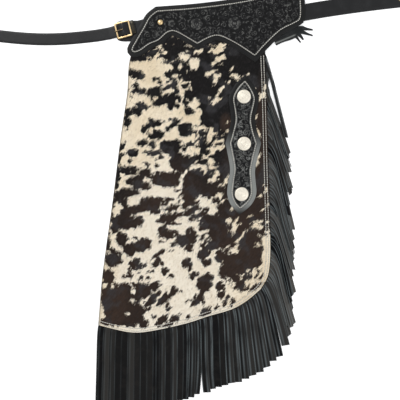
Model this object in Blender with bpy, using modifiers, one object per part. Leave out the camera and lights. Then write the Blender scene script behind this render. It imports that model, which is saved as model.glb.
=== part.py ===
"""Western hair-on hide chaps (short fringed chinks), laid out flat with the grain side up.

Metres, +Z up. X runs to the wearer's left from the centre front, Y runs up to the waist,
and the garment lies on z = 0. The left side is modelled, and the right side is its mirror.
"""

import math

import bpy
import bmesh
from mathutils import Matrix, Vector

# Leather thicknesses and the gap between pieces that lie on each other
GAP = 0.0003
HIDE = 0.0022
FRINGE = 0.0014
YOKE = 0.0020
TOOLED = 0.0025
STRAP = 0.0020
CHAPE = 0.0016

# Heights of the layers: the hide rides on the fringe strip, the yoke on the hide
HIDE_LIFT = FRINGE + GAP
YOKE_Z = HIDE_LIFT + HIDE + GAP
PANEL_Z = YOKE_Z + YOKE + GAP
CONCHO_Z = PANEL_Z + TOOLED + GAP
UNDER_YOKE_Z = YOKE_Z - GAP - STRAP

BORDER, MITRE_LIMIT = 0.0105, 0.5
# Steps of a smooth curve between two points of a table, and the angle that stays a sharp edge
CURVE_STEPS, SHARP = 3, math.radians(40)
# Shift that puts the middle of the garment's length at y = 0
MIDDLE_Y = 0.0153

# The hide is raised by the fringe strip along its edge and by the yoke's seam at its top
EDGE_LEVEL, EDGE_FADE = 0.108, 0.150
SEAM_LEVEL, SEAM_FADE = 0.255, 0.190

# Inner edge of the leg panel, from the hem up: x, y
INNER_EDGE = (
    (0.1234, -0.324),
    (0.132, -0.216),
    (0.143, -0.130),
    (0.158, -0.024),
    (0.170, 0.072),
    (0.180, 0.149),
    (0.193, 0.235),
    (0.1965, 0.300),
    (0.207, 0.340),
)
# Hem of the leg panel, from the inner corner to the middle of the round corner: x, y
HEM = (
    (0.1234, -0.324),
    (0.162, -0.334),
    (0.206, -0.342),
    (0.252, -0.338),
    (0.334, -0.320),
    (0.389, -0.302),
    (0.441, -0.287),
    (0.479, -0.266),
    (0.512, -0.238),
)
# Outer edge of the leg panel, from the round corner up: x, y
OUTER_EDGE = (
    (0.512, -0.238),
    (0.529, -0.208),
    (0.535, -0.165),
    (0.535, -0.100),
    (0.531, 0.050),
    (0.526, 0.240),
    (0.523, 0.318),
    (0.522, 0.380),
)
# Top edge of the leg panel, hidden by the yoke: x, y
TOP_EDGE = (
    (0.207, 0.340),
    (0.246, 0.362),
    (0.290, 0.392),
    (0.367, 0.400),
    (0.450, 0.398),
    (0.522, 0.380),
)
LEG_COLUMNS = (0, 0.045, 0.09, 0.15, 0.21, 0.28, 0.35, 0.42, 0.5, 0.58, 0.66, 0.74, 0.82, 0.9, 0.96, 1)
LEG_ROWS = 20

# Long soft folds of the hide: x and y of the upper end, x and y of the lower end, half width, height
FOLDS = (
    (0.259, 0.262, 0.232, -0.075, 0.048, 0.0060),
    (0.338, 0.110, 0.300, -0.170, 0.040, 0.0040),
    (0.250, -0.080, 0.205, -0.215, 0.045, 0.0045),
)
# The inner edge rolls down: the roll's distance from the edge, half width and height
ROLL_FROM_EDGE, ROLL_HALF, ROLL_HEIGHT = 0.019, 0.019, 0.0040

# Fringe: strands along the hem, the round corner and the outer edge
STRANDS = 68
STRAND_LENGTH = 0.182
FRINGE_TOP_Y = 0.318
STRIP_UNDER, STRIP_OUT = 0.010, 0.0015
SLIT = 0.0009
NARROW_STRAND = 0.0074
SHINGLE_GAP, OVERLAP_FADE = 0.0007, 0.001
LEAVE_SHARE, TURN_LENGTH, TILT_LENGTH = 0.60, 0.045, 0.030
FIRST_SECTION, SECTION_SPREAD = 0.004, 1.6
STRAIGHT_TURN, STRAIGHT_STEPS, BENT_STEPS = math.radians(9), 3, 6
FLOOR_CLEARANCE = 0.0003
# Hanging direction, as the angle from straight down: share of the fringe's length, degrees
HANG = (
    (0.00, -1.5),
    (0.12, -0.5),
    (0.28, 0.5),
    (0.38, 6.5),
    (0.45, 11.5),
    (0.57, 13.0),
    (0.63, 14.3),
    (0.85, 13.9),
    (1.00, 12.0),
)

# Tooled yoke panel, at its stitch line: x, y, corner
YOKE_PANEL = (
    (0.2645, 0.430, True),
    (0.246, 0.415, False),
    (0.232, 0.390, False),
    (0.214, 0.359, False),
    (0.203, 0.338, False),
    (0.209, 0.330, False),
    (0.225, 0.335, False),
    (0.246, 0.350, False),
    (0.268, 0.359, False),
    (0.288, 0.377, False),
    (0.308, 0.380, False),
    (0.341, 0.362, False),
    (0.361, 0.350, True),
    (0.386, 0.364, False),
    (0.412, 0.370, False),
    (0.450, 0.353, False),
    (0.480, 0.334, False),
    (0.499, 0.321, True),
    (0.523, 0.348, False),
    (0.560, 0.383, False),
    (0.595, 0.401, False),
    (0.609, 0.417, False),
    (0.607, 0.484, True),
    (0.583, 0.481, False),
    (0.487, 0.455, False),
    (0.367, 0.438, False),
)

# Long overlay at its stitch line: y, left x, right x, corner
OVERLAY = (
    (0.262, 0.475, 0.475, True),
    (0.246, 0.459, 0.487, False),
    (0.222, 0.447, 0.498, False),
    (0.200, 0.4495, 0.495, False),
    (0.170, 0.453, 0.489, False),
    (0.140, 0.447, 0.494, False),
    (0.112, 0.439, 0.503, True),
    (0.088, 0.444, 0.497, False),
    (0.050, 0.450, 0.489, False),
    (0.022, 0.446, 0.490, False),
    (-0.008, 0.443, 0.492, False),
    (-0.030, 0.450, 0.481, False),
    (-0.045, 0.463, 0.463, True),
)

CONCHO_STEPS, STUD_STEPS = 18, 12
# Conchos from the top down: x, y
CONCHOS = ((0.4726, 0.224), (0.473, 0.111), (0.467, -0.010))
# Turned profiles, from the crown down the outer side: radius, height
CONCHO_PROFILE = (
    (0, 0.0042),
    (0.005, 0.0040),
    (0.009, 0.0028),
    (0.0135, 0.0022),
    (0.0165, 0.0008),
    (0.0165, 0),
    (0, 0),
)
STUD_PROFILE = ((0, 0.0034), (0.003, 0.0031), (0.0054, 0.0019), (0.0065, 0.0004), (0.0065, 0), (0, 0))
BACK_STUD_PROFILE = (
    (0, 0.0092),
    (0.0022, 0.0086),
    (0.0035, 0.0066),
    (0.0030, 0.0045),
    (0.0018, 0.0036),
    (0.0018, 0.0014),
    (0.0052, 0.0010),
    (0.0055, 0),
    (0, 0),
)
YOKE_STUD = (0.272, 0.402)

# Front strap from the right yoke to the buckle, x, y and height of its middle
STRAP_WIDTH = 0.029
FRONT_STRAP = (
    (-0.230, 0.3770, UNDER_YOKE_Z + STRAP / 2),
    (-0.205, 0.3765, UNDER_YOKE_Z + STRAP / 2),
    (-0.170, 0.3755, STRAP / 2),
    (-0.139, 0.3730, STRAP / 2),
    (-0.086, 0.3670, STRAP / 2),
    (-0.040, 0.3635, STRAP / 2),
    (0.000, 0.3625, STRAP / 2),
    (0.045, 0.3640, STRAP / 2),
    (0.090, 0.3680, STRAP / 2),
    (0.120, 0.3715, STRAP / 2),
)

# Buckle, in a frame of its own: x along the strap, z up from the floor
BUCKLE_AT = (0.183, 0.385)
BUCKLE_TURN = math.radians(14)
BUCKLE_TILT = math.radians(7)
FRAME_LENGTH, FRAME_WIDTH = 0.0375, 0.039
BAR, BAR_THICK, CENTRE_BAR = 0.004, 0.0024, 0.003
FRAME_CORNER, WINDOW_CORNER, FRAME_BEVEL = 0.0035, 0.001, 0.0004
FRAME_Z = 0.0081
# Front strap through the buckle: x, height of its middle, hole
STRAP_IN_BUCKLE = (
    (-0.0350, 0.0011, False),
    (-0.0210, 0.0034, False),
    (-0.0135, 0.0034, False),
    (-0.0105, 0.0056, False),
    (-0.0070, 0.0086, True),
    (-0.0045, 0.0110, True),
    (-0.0022, 0.0127, True),
    (0.0016, 0.0133, False),
    (0.0046, 0.0122, False),
    (0.0090, 0.0099, False),
    (0.0142, 0.0074, False),
    (0.0200, 0.0072, False),
    (0.0295, 0.0077, False),
)
STRAP_HOLE = 0.0046
CHAPE_WIDTH = 0.026
# Leather of the chape from under the yoke to the centre bar: x, height of its middle
CHAPE_OUT = ((0.0560, 0.0031), (0.0300, 0.0031), (0.0145, 0.0031), (0.0060, 0.0041))
# It wraps round the bar: radius of its middle, degrees from the start to the end of the wrap
WRAP_RADIUS, WRAP_FROM, WRAP_TO, WRAP_STEPS = 0.0030, 270, 95, 5
# and comes back on top of itself: x, height of its middle
CHAPE_BACK = ((0.0042, 0.0100), (0.0085, 0.0074), (0.0132, 0.0050), (0.0210, 0.0050))
# Outline of the leather safe under the buckle: x, y, corner
SAFE = (
    (0.2420, 0.403, True),
    (0.2280, 0.407, False),
    (0.1750, 0.406, False),
    (0.1655, 0.396, False),
    (0.1660, 0.368, False),
    (0.1760, 0.358, False),
    (0.2050, 0.358, False),
    (0.2300, 0.363, False),
    (0.2420, 0.373, True),
)
TONGUE_RADIUS = 0.00125
# Tongue from the centre bar to its tip on the far bar: x, height
TONGUE = (
    (-0.0003, 0.0137),
    (-0.0050, 0.0132),
    (-0.0100, 0.0112),
    (-0.0150, 0.0097),
    (-0.0190, 0.0091),
    (-0.0212, 0.0084),
)
KEEPER_AT, KEEPER_WIDTH, KEEPER_THICK, KEEPER_PLAY = 0.0245, 0.007, 0.0012, 0.0008
KEEPER_FOOT, KEEPER_INNER = 0.0065, 0.0089

# Strap under the thigh: x and y of its two ends
LEG_STRAP_WIDTH = 0.025
LEG_STRAP = ((0.212, 0.281), (0.497, 0.277))

# Back strap from under the hip end outward: x, y, height of its middle
BACK_WIDTH = 0.040
BACK_STRAP = (
    (0.560, 0.4150, UNDER_YOKE_Z + STRAP / 2),
    (0.618, 0.4265, UNDER_YOKE_Z + STRAP / 2),
    (0.665, 0.4350, STRAP / 2),
    (0.740, 0.4460, STRAP / 2),
    (0.820, 0.4560, STRAP / 2),
    (0.905, 0.4650, STRAP / 2),
)
BACK_STUDS = (0.850, 0.885)
BACK_HOLES = (0.795, 0.825, 0.855, 0.885)
HOLE_RADIUS = 0.0025
# The strap's end narrows: how far out, share of the width
BACK_END = ((0.008, 0.85), (0.013, 0.5))
EDGE_COLUMNS = (-1, -0.5, 0.5, 1)

# Hip tie: a strip along the yoke's lower hip edge that ends in five pointed strings
TIE_STRIP = ((0.551, 0.3565), (0.575, 0.3660), (0.597, 0.3765))
TIE_WIDTH = 0.012
TIE_ROOT = (0.597, 0.3765)
TIE_FAN, STRING_TAPER_FROM = 0.0105, 0.65
# Strings from the lowest to the highest: angle of the root in degrees, x and y of the tip, width
TIE_STRINGS = (
    (-76, 0.6030, 0.3490, 0.0040),
    (-48, 0.6130, 0.3600, 0.0042),
    (-20, 0.6190, 0.3680, 0.0042),
    (8, 0.6400, 0.3820, 0.0044),
    (36, 0.6420, 0.3940, 0.0044),
)


def clear_scene():
    for obj in list(bpy.data.objects):
        bpy.data.objects.remove(obj)


def material(name, colour, roughness, metallic=0.0):
    made = bpy.data.materials.new(name)
    made.use_nodes = True
    shader = made.node_tree.nodes["Principled BSDF"]
    shader.inputs["Base Color"].default_value = (*colour, 1)
    shader.inputs["Roughness"].default_value = roughness
    shader.inputs["Metallic"].default_value = metallic
    return made


def smooth(points, steps=CURVE_STEPS):
    """Catmull-Rom curve through the points of one open stretch."""
    points = [Vector(point) for point in points]
    ends = [2 * points[0] - points[1], *points, 2 * points[-1] - points[-2]]
    curve = []
    for a, b, c, d in zip(ends, ends[1:], ends[2:], ends[3:]):
        for step in range(steps):
            t = step / steps
            bend = (2 * a - 5 * b + 4 * c - d) * t * t + (3 * b - a - 3 * c + d) * t**3
            curve.append(b + ((c - a) * t + bend) / 2)
    return [*curve, points[-1]]


def closed_outline(rows, steps=CURVE_STEPS):
    """Closed outline through rows of x, y, corner, smooth but for its corners. The first row is one."""
    rows = [*rows, rows[0]]
    corners = [index for index, row in enumerate(rows) if row[2]]
    outline = []
    for first, last in zip(corners, corners[1:]):
        stretch = [row[:2] for row in rows[first : last + 1]]
        outline += smooth(stretch, steps if len(stretch) > 2 else 1)[:-1]
    return outline


def outset(outline, distance):
    """The outline moved outward all round, with mitred corners. It runs anticlockwise."""
    moved = []
    for before, here, after in zip(outline[-1:] + outline[:-1], outline, outline[1:] + outline[:1]):
        first = (here - before).normalized()
        second = (after - here).normalized()
        normals = [Vector((edge.y, -edge.x)) for edge in (first, second)]
        middle = (normals[0] + normals[1]).normalized()
        moved.append(here + middle * distance / max(MITRE_LIMIT, middle.dot(normals[0])))
    return moved


def resample(points, shares):
    """Points at these shares of the length of a polyline."""
    lengths = [0]
    for a, b in zip(points, points[1:]):
        lengths.append(lengths[-1] + (b - a).length)
    found = []
    for share in shares:
        goal = share * lengths[-1]
        index = max(i for i in range(len(points) - 1) if lengths[i] <= goal)
        part = (goal - lengths[index]) / (lengths[index + 1] - lengths[index])
        found.append(points[index].lerp(points[index + 1], min(1, part)))
    return found


def ease(value):
    value = min(1, max(0, value))
    return value * value * (3 - 2 * value)


def bump(value):
    """1 at the middle of a fold, 0 at its sides, smooth between."""
    return math.cos(math.pi / 2 * value) ** 2 if abs(value) < 1 else 0


FRINGE_PATH = smooth(HEM)[:-1] + smooth(OUTER_EDGE)
INNER_CURVE = smooth(INNER_EDGE)


def turned(vector, angle):
    """The 2D vector turned anticlockwise."""
    return Matrix.Rotation(angle, 2) @ vector


def distance_to(point, path):
    nearest = []
    for a, b in zip(path, path[1:]):
        along = (point - a).dot(b - a) / (b - a).length_squared
        nearest.append((point - a.lerp(b, min(1, max(0, along)))).length)
    return min(nearest)


def hide_floor(point):
    """Height of the hide's underside: level at its sewn edges, with soft folds between them."""
    from_edge = distance_to(point, FRINGE_PATH)
    level = max(
        ease((EDGE_FADE - from_edge) / (EDGE_FADE - EDGE_LEVEL)),
        ease((point.y - SEAM_FADE) / (SEAM_LEVEL - SEAM_FADE)),
    )
    from_inner = distance_to(point, INNER_CURVE)
    folds = ROLL_HEIGHT * bump((from_inner - ROLL_FROM_EDGE) / ROLL_HALF)
    for top_x, top_y, low_x, low_y, half_width, height in FOLDS:
        axis = Vector((low_x - top_x, low_y - top_y))
        offset = point - Vector((top_x, top_y))
        along = offset.dot(axis) / axis.length_squared
        across = (offset - axis * along).length / half_width
        folds += height * bump(across) * bump(2 * along - 1)
    return HIDE_LIFT * level + folds * (1 - level)


def leg_point(u, v, edges):
    """Point of the leg panel at u across and v up, blended from its four edges."""
    hem, top, inner, outer = (resample(edge, (share,))[0] for edge, share in zip(edges, (u, u, v, v)))
    corners = (
        edges[0][0] * (1 - u) * (1 - v)
        + edges[0][-1] * u * (1 - v)
        + edges[1][0] * (1 - u) * v
        + edges[1][-1] * u * v
    )
    return hem * (1 - v) + top * v + inner * (1 - u) + outer * u - corners


def grid_mesh(name, rows, holes=()):
    """Open surface through rows of points. holes lists the row and column of each face left out."""
    mesh = bmesh.new()
    made = [[mesh.verts.new(point) for point in row] for row in rows]
    for i, (low, high) in enumerate(zip(made, made[1:])):
        for j in range(len(low) - 1):
            if (i, j) not in holes:
                mesh.faces.new((low[j], low[j + 1], high[j + 1], high[j]))
    data = bpy.data.meshes.new(name)
    mesh.to_mesh(data)
    mesh.free()
    return data


def plate_curve(name, outlines, thickness, bevel=0.0):
    """Flat plate as a filled 2D curve: the first outline is its edge, the others are windows."""
    data = bpy.data.curves.new(name, "CURVE")
    data.dimensions = "2D"
    data.fill_mode = "BOTH"
    data.extrude = thickness / 2 - bevel
    data.bevel_depth = bevel
    data.bevel_resolution = 0
    data.offset = -bevel
    for outline in outlines:
        spline = data.splines.new("POLY")
        spline.points.add(len(outline) - 1)
        for point, (x, y) in zip(spline.points, outline):
            point.co = (x, y, 0, 1)
        spline.use_cyclic_u = True
    return data


def turned_mesh(name, profile, steps):
    """A turned solid: the profile with a Screw modifier, applied so that copies can share it."""
    data = bpy.data.meshes.new(name)
    data.from_pydata([(x, 0, z) for x, z in profile], [(i, i + 1) for i in range(len(profile) - 1)], [])
    source = bpy.data.objects.new(name, data)
    GROUP.objects.link(source)
    screw = source.modifiers.new("Screw", "SCREW")
    screw.steps = screw.render_steps = steps
    screw.use_merge_vertices = True
    screw.merge_threshold = 0.00001
    made = bpy.data.meshes.new_from_object(source.evaluated_get(bpy.context.evaluated_depsgraph_get()))
    made.name = name + "_turned"
    made.shade_smooth()
    made.set_sharp_from_angle(angle=SHARP)
    bpy.data.objects.remove(source)
    return made


def place(name, data, finish, location=(0, 0, 0), rotation=(0, 0, 0), parent=None, mirrored=False, wall=0.0):
    """Adds one sub-part. mirrored makes the right side's copy, and wall gives a surface its thickness."""
    obj = bpy.data.objects.new(name, data)
    GROUP.objects.link(obj)
    obj.parent = parent or ROOT
    side = -1 if mirrored else 1
    obj.location = (side * location[0], location[1], location[2])
    obj.rotation_euler = (rotation[0], side * rotation[1], side * rotation[2])
    obj.scale = (side, 1, 1)
    if not data.materials:
        data.materials.append(finish)
    if wall:
        solid = obj.modifiers.new("Solidify", "SOLIDIFY")
        solid.thickness = wall
        solid.offset = 1
        solid.use_even_offset = True
    return obj


def place_pair(name, data, finish, **settings):
    for side, mirrored in (("left", False), ("right", True)):
        place(f"{name}_{side}", data, finish, mirrored=mirrored, **settings)


def ribbon_rows(points, width, columns=(-1, 1), lift=0.0):
    """Rows across a strap that follows points of x, y, z. lift moves it from its middle to its underside."""
    points = [Vector(point) for point in points]
    rows = []
    for before, here, after in zip([points[0], *points], points, [*points[1:], points[-1]]):
        along = (after - before).normalized()
        across = Vector((along.y, -along.x, 0)).normalized()
        up = across.cross(along)
        rows.append([here + across * side * width / 2 - up * lift for side in columns])
    return rows


def laid(points):
    """A strap's smooth middle line, kept from dipping under the floor."""
    return [Vector((point.x, point.y, max(point.z, STRAP / 2))) for point in smooth(points)]


def make_legs(finish):
    edges = (smooth(HEM), smooth(TOP_EDGE), INNER_CURVE, smooth(OUTER_EDGE))
    rows = []
    for index in range(LEG_ROWS + 1):
        flat = [leg_point(u, index / LEG_ROWS, edges) for u in LEG_COLUMNS]
        rows.append([(point.x, point.y, hide_floor(point)) for point in flat])
    data = grid_mesh("leg", rows)
    data.shade_smooth()
    place_pair("leg", data, finish, wall=HIDE)


def hang_angle(share):
    for (low, first), (high, last) in zip(HANG, HANG[1:]):
        if share <= high:
            return math.radians(first + (last - first) * (share - low) / (high - low))
    return math.radians(HANG[-1][1])


def strand_sections(root, outward, share, pitch):
    """Middle and half width of each section of a strand, from its root to its tip.

    Along the hem the strands hang side by side. Along the outer edge they bend down at once,
    so that each overlaps the next like a shingle, its outer side low and its inner side raised.
    """
    angle = hang_angle(share)
    hang = Vector((math.sin(angle), -math.cos(angle)))
    turn = math.atan2(outward.x * hang.y - outward.y * hang.x, outward.dot(hang))
    spacing = pitch * math.cos(turn)
    wide = pitch * math.cos(turn * LEAVE_SHARE) - SLIT
    narrow = max(spacing - SLIT, NARROW_STRAND)
    overlap = ease((narrow + SLIT - spacing) / OVERLAP_FADE)
    tilt = math.asin((FRINGE + SHINGLE_GAP) / spacing) * overlap
    steps = STRAIGHT_STEPS if abs(turn) < STRAIGHT_TURN else BENT_STEPS
    middle = root
    travelled = 0
    sections = []
    for step in range(1, steps + 1):
        goal = FIRST_SECTION + (STRAND_LENGTH - FIRST_SECTION) * ((step - 1) / (steps - 1)) ** SECTION_SPREAD
        halfway = LEAVE_SHARE + (1 - LEAVE_SHARE) * ease((travelled + goal) / 2 / TURN_LENGTH)
        middle = middle + turned(outward, turn * halfway) * (goal - travelled)
        travelled = goal
        settled = ease(travelled / TURN_LENGTH)
        facing = turned(outward, turn * (LEAVE_SHARE + (1 - LEAVE_SHARE) * settled))
        lean = tilt * ease(travelled / TILT_LENGTH)
        width = wide + (narrow - wide) * settled
        across = Vector((-facing.y, facing.x, 0)) * math.cos(lean)
        across.z = -math.sin(lean)
        raised = width / 2 * math.sin(lean) + FRINGE / 2 * math.cos(lean)
        height = FRINGE / 2 + (raised + FLOOR_CLEARANCE - FRINGE / 2) * settled
        sections.append((Vector((middle.x, middle.y, max(height, raised))), across * width / 2))
    return sections


def make_fringe(finish):
    """A strip under the hide's edge, slit into strands that share an edge at the foot of each slit."""
    end_share = next(
        index for index, point in enumerate(FRINGE_PATH) if point.y >= FRINGE_TOP_Y and point.x > 0.4
    )
    path = FRINGE_PATH[: end_share + 1]
    marks = resample(path, [index / STRANDS for index in range(STRANDS + 1)])
    total = sum((b - a).length for a, b in zip(path, path[1:]))
    mesh = bmesh.new()
    feet = []
    for before, here, after in zip([marks[0], *marks], marks, [*marks[1:], marks[-1]]):
        along = (after - before).normalized()
        outward = Vector((along.y, -along.x))
        inner, outer = here - outward * STRIP_UNDER, here + outward * STRIP_OUT
        feet.append([mesh.verts.new((p.x, p.y, z)) for p in (inner, outer) for z in (0, FRINGE)])
    mesh.faces.new([feet[0][i] for i in (0, 2, 3, 1)])
    mesh.faces.new([feet[-1][i] for i in (1, 3, 2, 0)])
    for index, (low, high) in enumerate(zip(feet, feet[1:])):
        mesh.faces.new((low[0], low[1], high[1], high[0]))
        mesh.faces.new((low[1], low[3], high[3], high[1]))
        mesh.faces.new((low[2], low[0], high[0], high[2]))
        side = (high[2].co - low[2].co).normalized()
        outward = Vector((side.y, -side.x))
        root = (low[2].co + high[2].co).xy / 2
        share = (index + 0.5) / STRANDS
        ring = [low[2], high[2], high[3], low[3]]
        for middle, half in strand_sections(root, outward, share, total / STRANDS):
            up = half.normalized().cross(Vector((0, 0, 1)).cross(half)).normalized()
            up = up if up.z > 0 else -up
            corners = ((-1, -1), (1, -1), (1, 1), (-1, 1))
            following = [mesh.verts.new(middle + half * x + up * z * FRINGE / 2) for x, z in corners]
            for k in range(4):
                mesh.faces.new((ring[k], following[k], following[k - 3], ring[k - 3]))
            ring = following
        mesh.faces.new(ring)
    bmesh.ops.recalc_face_normals(mesh, faces=mesh.faces[:])
    data = bpy.data.meshes.new("fringe")
    mesh.to_mesh(data)
    mesh.free()
    place_pair("fringe", data, finish)


def make_yokes(border_finish, panel_finish):
    panel = closed_outline(YOKE_PANEL)
    for name, outline, height, thickness, finish in (
        ("yoke_border", outset(panel, BORDER), YOKE_Z, YOKE, border_finish),
        ("yoke_panel", panel, PANEL_Z, TOOLED, panel_finish),
    ):
        data = plate_curve(name, [outline], thickness)
        place_pair(name, data, finish, location=(0, 0, height + thickness / 2))


def make_overlays(border_finish, panel_finish):
    left = [(x, y, corner) for y, x, _, corner in OVERLAY]
    right = [(x, y, corner) for y, _, x, corner in OVERLAY[1:-1]]
    panel = closed_outline(left + right[::-1])
    for name, outline, height, thickness, finish in (
        ("overlay_border", outset(panel, BORDER), YOKE_Z, YOKE, border_finish),
        ("overlay_panel", panel, PANEL_Z, TOOLED, panel_finish),
    ):
        data = plate_curve(name, [outline], thickness)
        place_pair(name, data, finish, location=(0, 0, height + thickness / 2))


def make_ornaments(silver, brass):
    concho = turned_mesh("concho", CONCHO_PROFILE, CONCHO_STEPS)
    for number, (x, y) in enumerate(CONCHOS, 1):
        place_pair(f"concho_{number}", concho, silver, location=(x, y, CONCHO_Z))
    stud = turned_mesh("yoke_stud", STUD_PROFILE, STUD_STEPS)
    place_pair("yoke_stud", stud, brass, location=(*YOKE_STUD, CONCHO_Z))


def make_front_strap(finish):
    middle = laid(FRONT_STRAP)
    near = []
    for x, z, _ in STRAP_IN_BUCKLE:
        point = turned(Vector((x, 0)), BUCKLE_TURN)
        near.append(Vector((point.x + BUCKLE_AT[0], point.y + BUCKLE_AT[1], z)))
    hole_rows = [len(middle) + i for i, row in enumerate(STRAP_IN_BUCKLE) if row[2]]
    share = STRAP_HOLE / STRAP_WIDTH
    rows = ribbon_rows(middle + near, STRAP_WIDTH, (-1, -share, share, 1), STRAP / 2)
    data = grid_mesh("front_strap", rows, [(row, 1) for row in hole_rows])
    place("front_strap", data, finish, wall=STRAP)


def make_buckle(leather, brass):
    home = bpy.data.objects.new("buckle_frame_of_reference", None)
    GROUP.objects.link(home)
    home.parent = ROOT
    home.location = (*BUCKLE_AT, 0)
    home.rotation_euler = (0, 0, BUCKLE_TURN)
    data = plate_curve("buckle_safe", [closed_outline(SAFE)], STRAP)
    place("buckle_safe", data, leather, (0, 0, STRAP / 2))

    path = list(CHAPE_OUT)
    for step in range(WRAP_STEPS + 1):
        angle = math.radians(WRAP_FROM + (WRAP_TO - WRAP_FROM) * step / WRAP_STEPS)
        path.append((WRAP_RADIUS * math.cos(angle), FRAME_Z + WRAP_RADIUS * math.sin(angle)))
    path += CHAPE_BACK
    rows = [[(x, side * CHAPE_WIDTH / 2, z) for side in (-1, 1)] for x, z in path]
    chape = place("buckle_chape", grid_mesh("buckle_chape", rows), leather, parent=home, wall=CHAPE)
    chape.modifiers["Solidify"].offset = 0

    x, y = FRAME_LENGTH / 2, FRAME_WIDTH / 2
    edge = rounded_box(-x, x, -y, y, FRAME_CORNER)
    left = rounded_box(-x + BAR, -CENTRE_BAR / 2, -y + BAR, y - BAR, WINDOW_CORNER)
    right = rounded_box(CENTRE_BAR / 2, x - BAR, -y + BAR, y - BAR, WINDOW_CORNER)
    data = plate_curve("buckle_frame", [edge, left, right], BAR_THICK, FRAME_BEVEL)
    place("buckle_frame", data, brass, (0, 0, FRAME_Z), (0, -BUCKLE_TILT, 0), home)

    data = bpy.data.curves.new("buckle_tongue", "CURVE")
    data.dimensions = "3D"
    data.bevel_depth = TONGUE_RADIUS
    data.bevel_resolution = 2
    data.use_fill_caps = True
    spline = data.splines.new("POLY")
    spline.points.add(len(TONGUE) - 1)
    for point, (along, height) in zip(spline.points, TONGUE):
        point.co = (along, 0, height, 1)
    place("buckle_tongue", data, brass, parent=home)

    half = STRAP_WIDTH / 2 + KEEPER_PLAY
    outer, top = half + KEEPER_THICK, KEEPER_INNER + KEEPER_THICK
    outline = [(-outer, KEEPER_FOOT), (-half, KEEPER_FOOT), (-half, KEEPER_INNER), (half, KEEPER_INNER)]
    outline += [(half, KEEPER_FOOT), (outer, KEEPER_FOOT), (outer, top), (-outer, top)]
    data = plate_curve("buckle_keeper", [outline], KEEPER_WIDTH)
    upright = (math.pi / 2, 0, math.pi / 2)
    place("buckle_keeper", data, brass, (KEEPER_AT, 0, 0), upright, home)


def rounded_box(x_low, x_high, y_low, y_high, radius):
    """Anticlockwise rectangle with round corners."""
    outline = []
    centres = (
        (x_high - radius, y_low + radius, -90),
        (x_high - radius, y_high - radius, 0),
        (x_low + radius, y_high - radius, 90),
        (x_low + radius, y_low + radius, 180),
    )
    for x, y, start in centres:
        for angle in (0, 45, 90):
            turn = math.radians(start + angle)
            outline.append((x + radius * math.cos(turn), y + radius * math.sin(turn)))
    return outline


def make_leg_straps(finish):
    points = [(x, y, 0) for x, y in LEG_STRAP]
    data = grid_mesh("leg_strap", ribbon_rows(points, LEG_STRAP_WIDTH))
    place_pair("leg_strap", data, finish, wall=FRINGE)


def back_strap_point(x):
    """Middle of the back strap's upper face at this x, where it lies level."""
    for (low, first, _), (high, last, _) in zip(BACK_STRAP, BACK_STRAP[1:]):
        if x <= high:
            return (x, first + (last - first) * (x - low) / (high - low), STRAP)


def make_back_straps(finish, brass):
    rows = ribbon_rows(laid(BACK_STRAP), BACK_WIDTH, EDGE_COLUMNS, STRAP / 2)
    end = Vector(rows[-1][1]).lerp(rows[-1][2], 0.5)
    along = (Vector(rows[-1][1]) - Vector(rows[-2][1])).normalized()
    for reach, narrow in BACK_END:
        rows.append([end + (point - end) * narrow + along * reach for point in rows[-1]])
    data = grid_mesh("back_strap", rows)
    place("back_strap_left", data, finish, wall=STRAP)
    holed = place("back_strap_right", data.copy(), finish, mirrored=True, wall=STRAP)
    for x in BACK_HOLES:
        spot = back_strap_point(x)
        bpy.ops.mesh.primitive_cylinder_add(vertices=12, radius=HOLE_RADIUS, depth=0.02)
        cutter = bpy.context.object
        cutter.name = "back_hole_cutter"
        cutter.parent = ROOT
        cutter.location = (-spot[0], spot[1], 0)
        cutter.hide_render = True
        cutter.display_type = "WIRE"
        for other in cutter.users_collection:
            other.objects.unlink(cutter)
        CUTTERS.objects.link(cutter)
        cut = holed.modifiers.new("Hole", "BOOLEAN")
        cut.operation = "DIFFERENCE"
        cut.object = cutter
    stud = turned_mesh("back_stud", BACK_STUD_PROFILE, STUD_STEPS)
    for number, x in enumerate(BACK_STUDS, 1):
        spot = Vector(back_strap_point(x)) + Vector((0, 0, GAP))
        place(f"back_stud_{number}", stud, brass, spot)


def make_hip_ties(finish):
    strip = smooth(TIE_STRIP)
    rows = ribbon_rows([(point.x, point.y, 0) for point in strip], TIE_WIDTH)
    upper = [Vector(row[0]).xy for row in rows]
    lower = [Vector(row[1]).xy for row in rows]
    root = Vector(TIE_ROOT)
    fan = []
    for degrees, x, y, width in TIE_STRINGS:
        angle = math.radians(degrees)
        start = root + Vector((math.cos(angle), math.sin(angle))) * TIE_FAN
        foot = Vector((-math.sin(angle), math.cos(angle))) * width / 2
        tip = Vector((x, y))
        along = (tip - start).normalized()
        side = Vector((-along.y, along.x)) * width / 2
        waist = start.lerp(tip, STRING_TAPER_FROM)
        fan.append([start - foot, waist - side, tip, waist + side, start + foot])
    outline = lower[:-1]
    for string in fan:
        outline += string
    outline += upper[:-1][::-1]
    data = plate_curve("hip_tie", [outline], STRAP)
    place_pair("hip_tie", data, finish, location=(0, 0, UNDER_YOKE_Z + STRAP / 2))


clear_scene()
GROUP = bpy.data.collections.new("chaps")
CUTTERS = bpy.data.collections.new("cutters")
for collection in (GROUP, CUTTERS):
    bpy.context.scene.collection.children.link(collection)
ROOT = bpy.data.objects.new("chaps_origin", None)
GROUP.objects.link(ROOT)
ROOT.location = (0, MIDDLE_Y, 0)

HAIR = material("hair_on_hide", (0.72, 0.62, 0.46), 0.75)
SUEDE = material("black_suede", (0.018, 0.018, 0.021), 0.85)
BLACK_LEATHER = material("black_leather", (0.022, 0.022, 0.024), 0.45)
CARVED_LEATHER = material("carved_leather", (0.012, 0.012, 0.013), 0.5)
BRASS = material("brass", (0.75, 0.52, 0.24), 0.25, 1.0)
SILVER = material("silver", (0.86, 0.82, 0.74), 0.25, 1.0)

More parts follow.
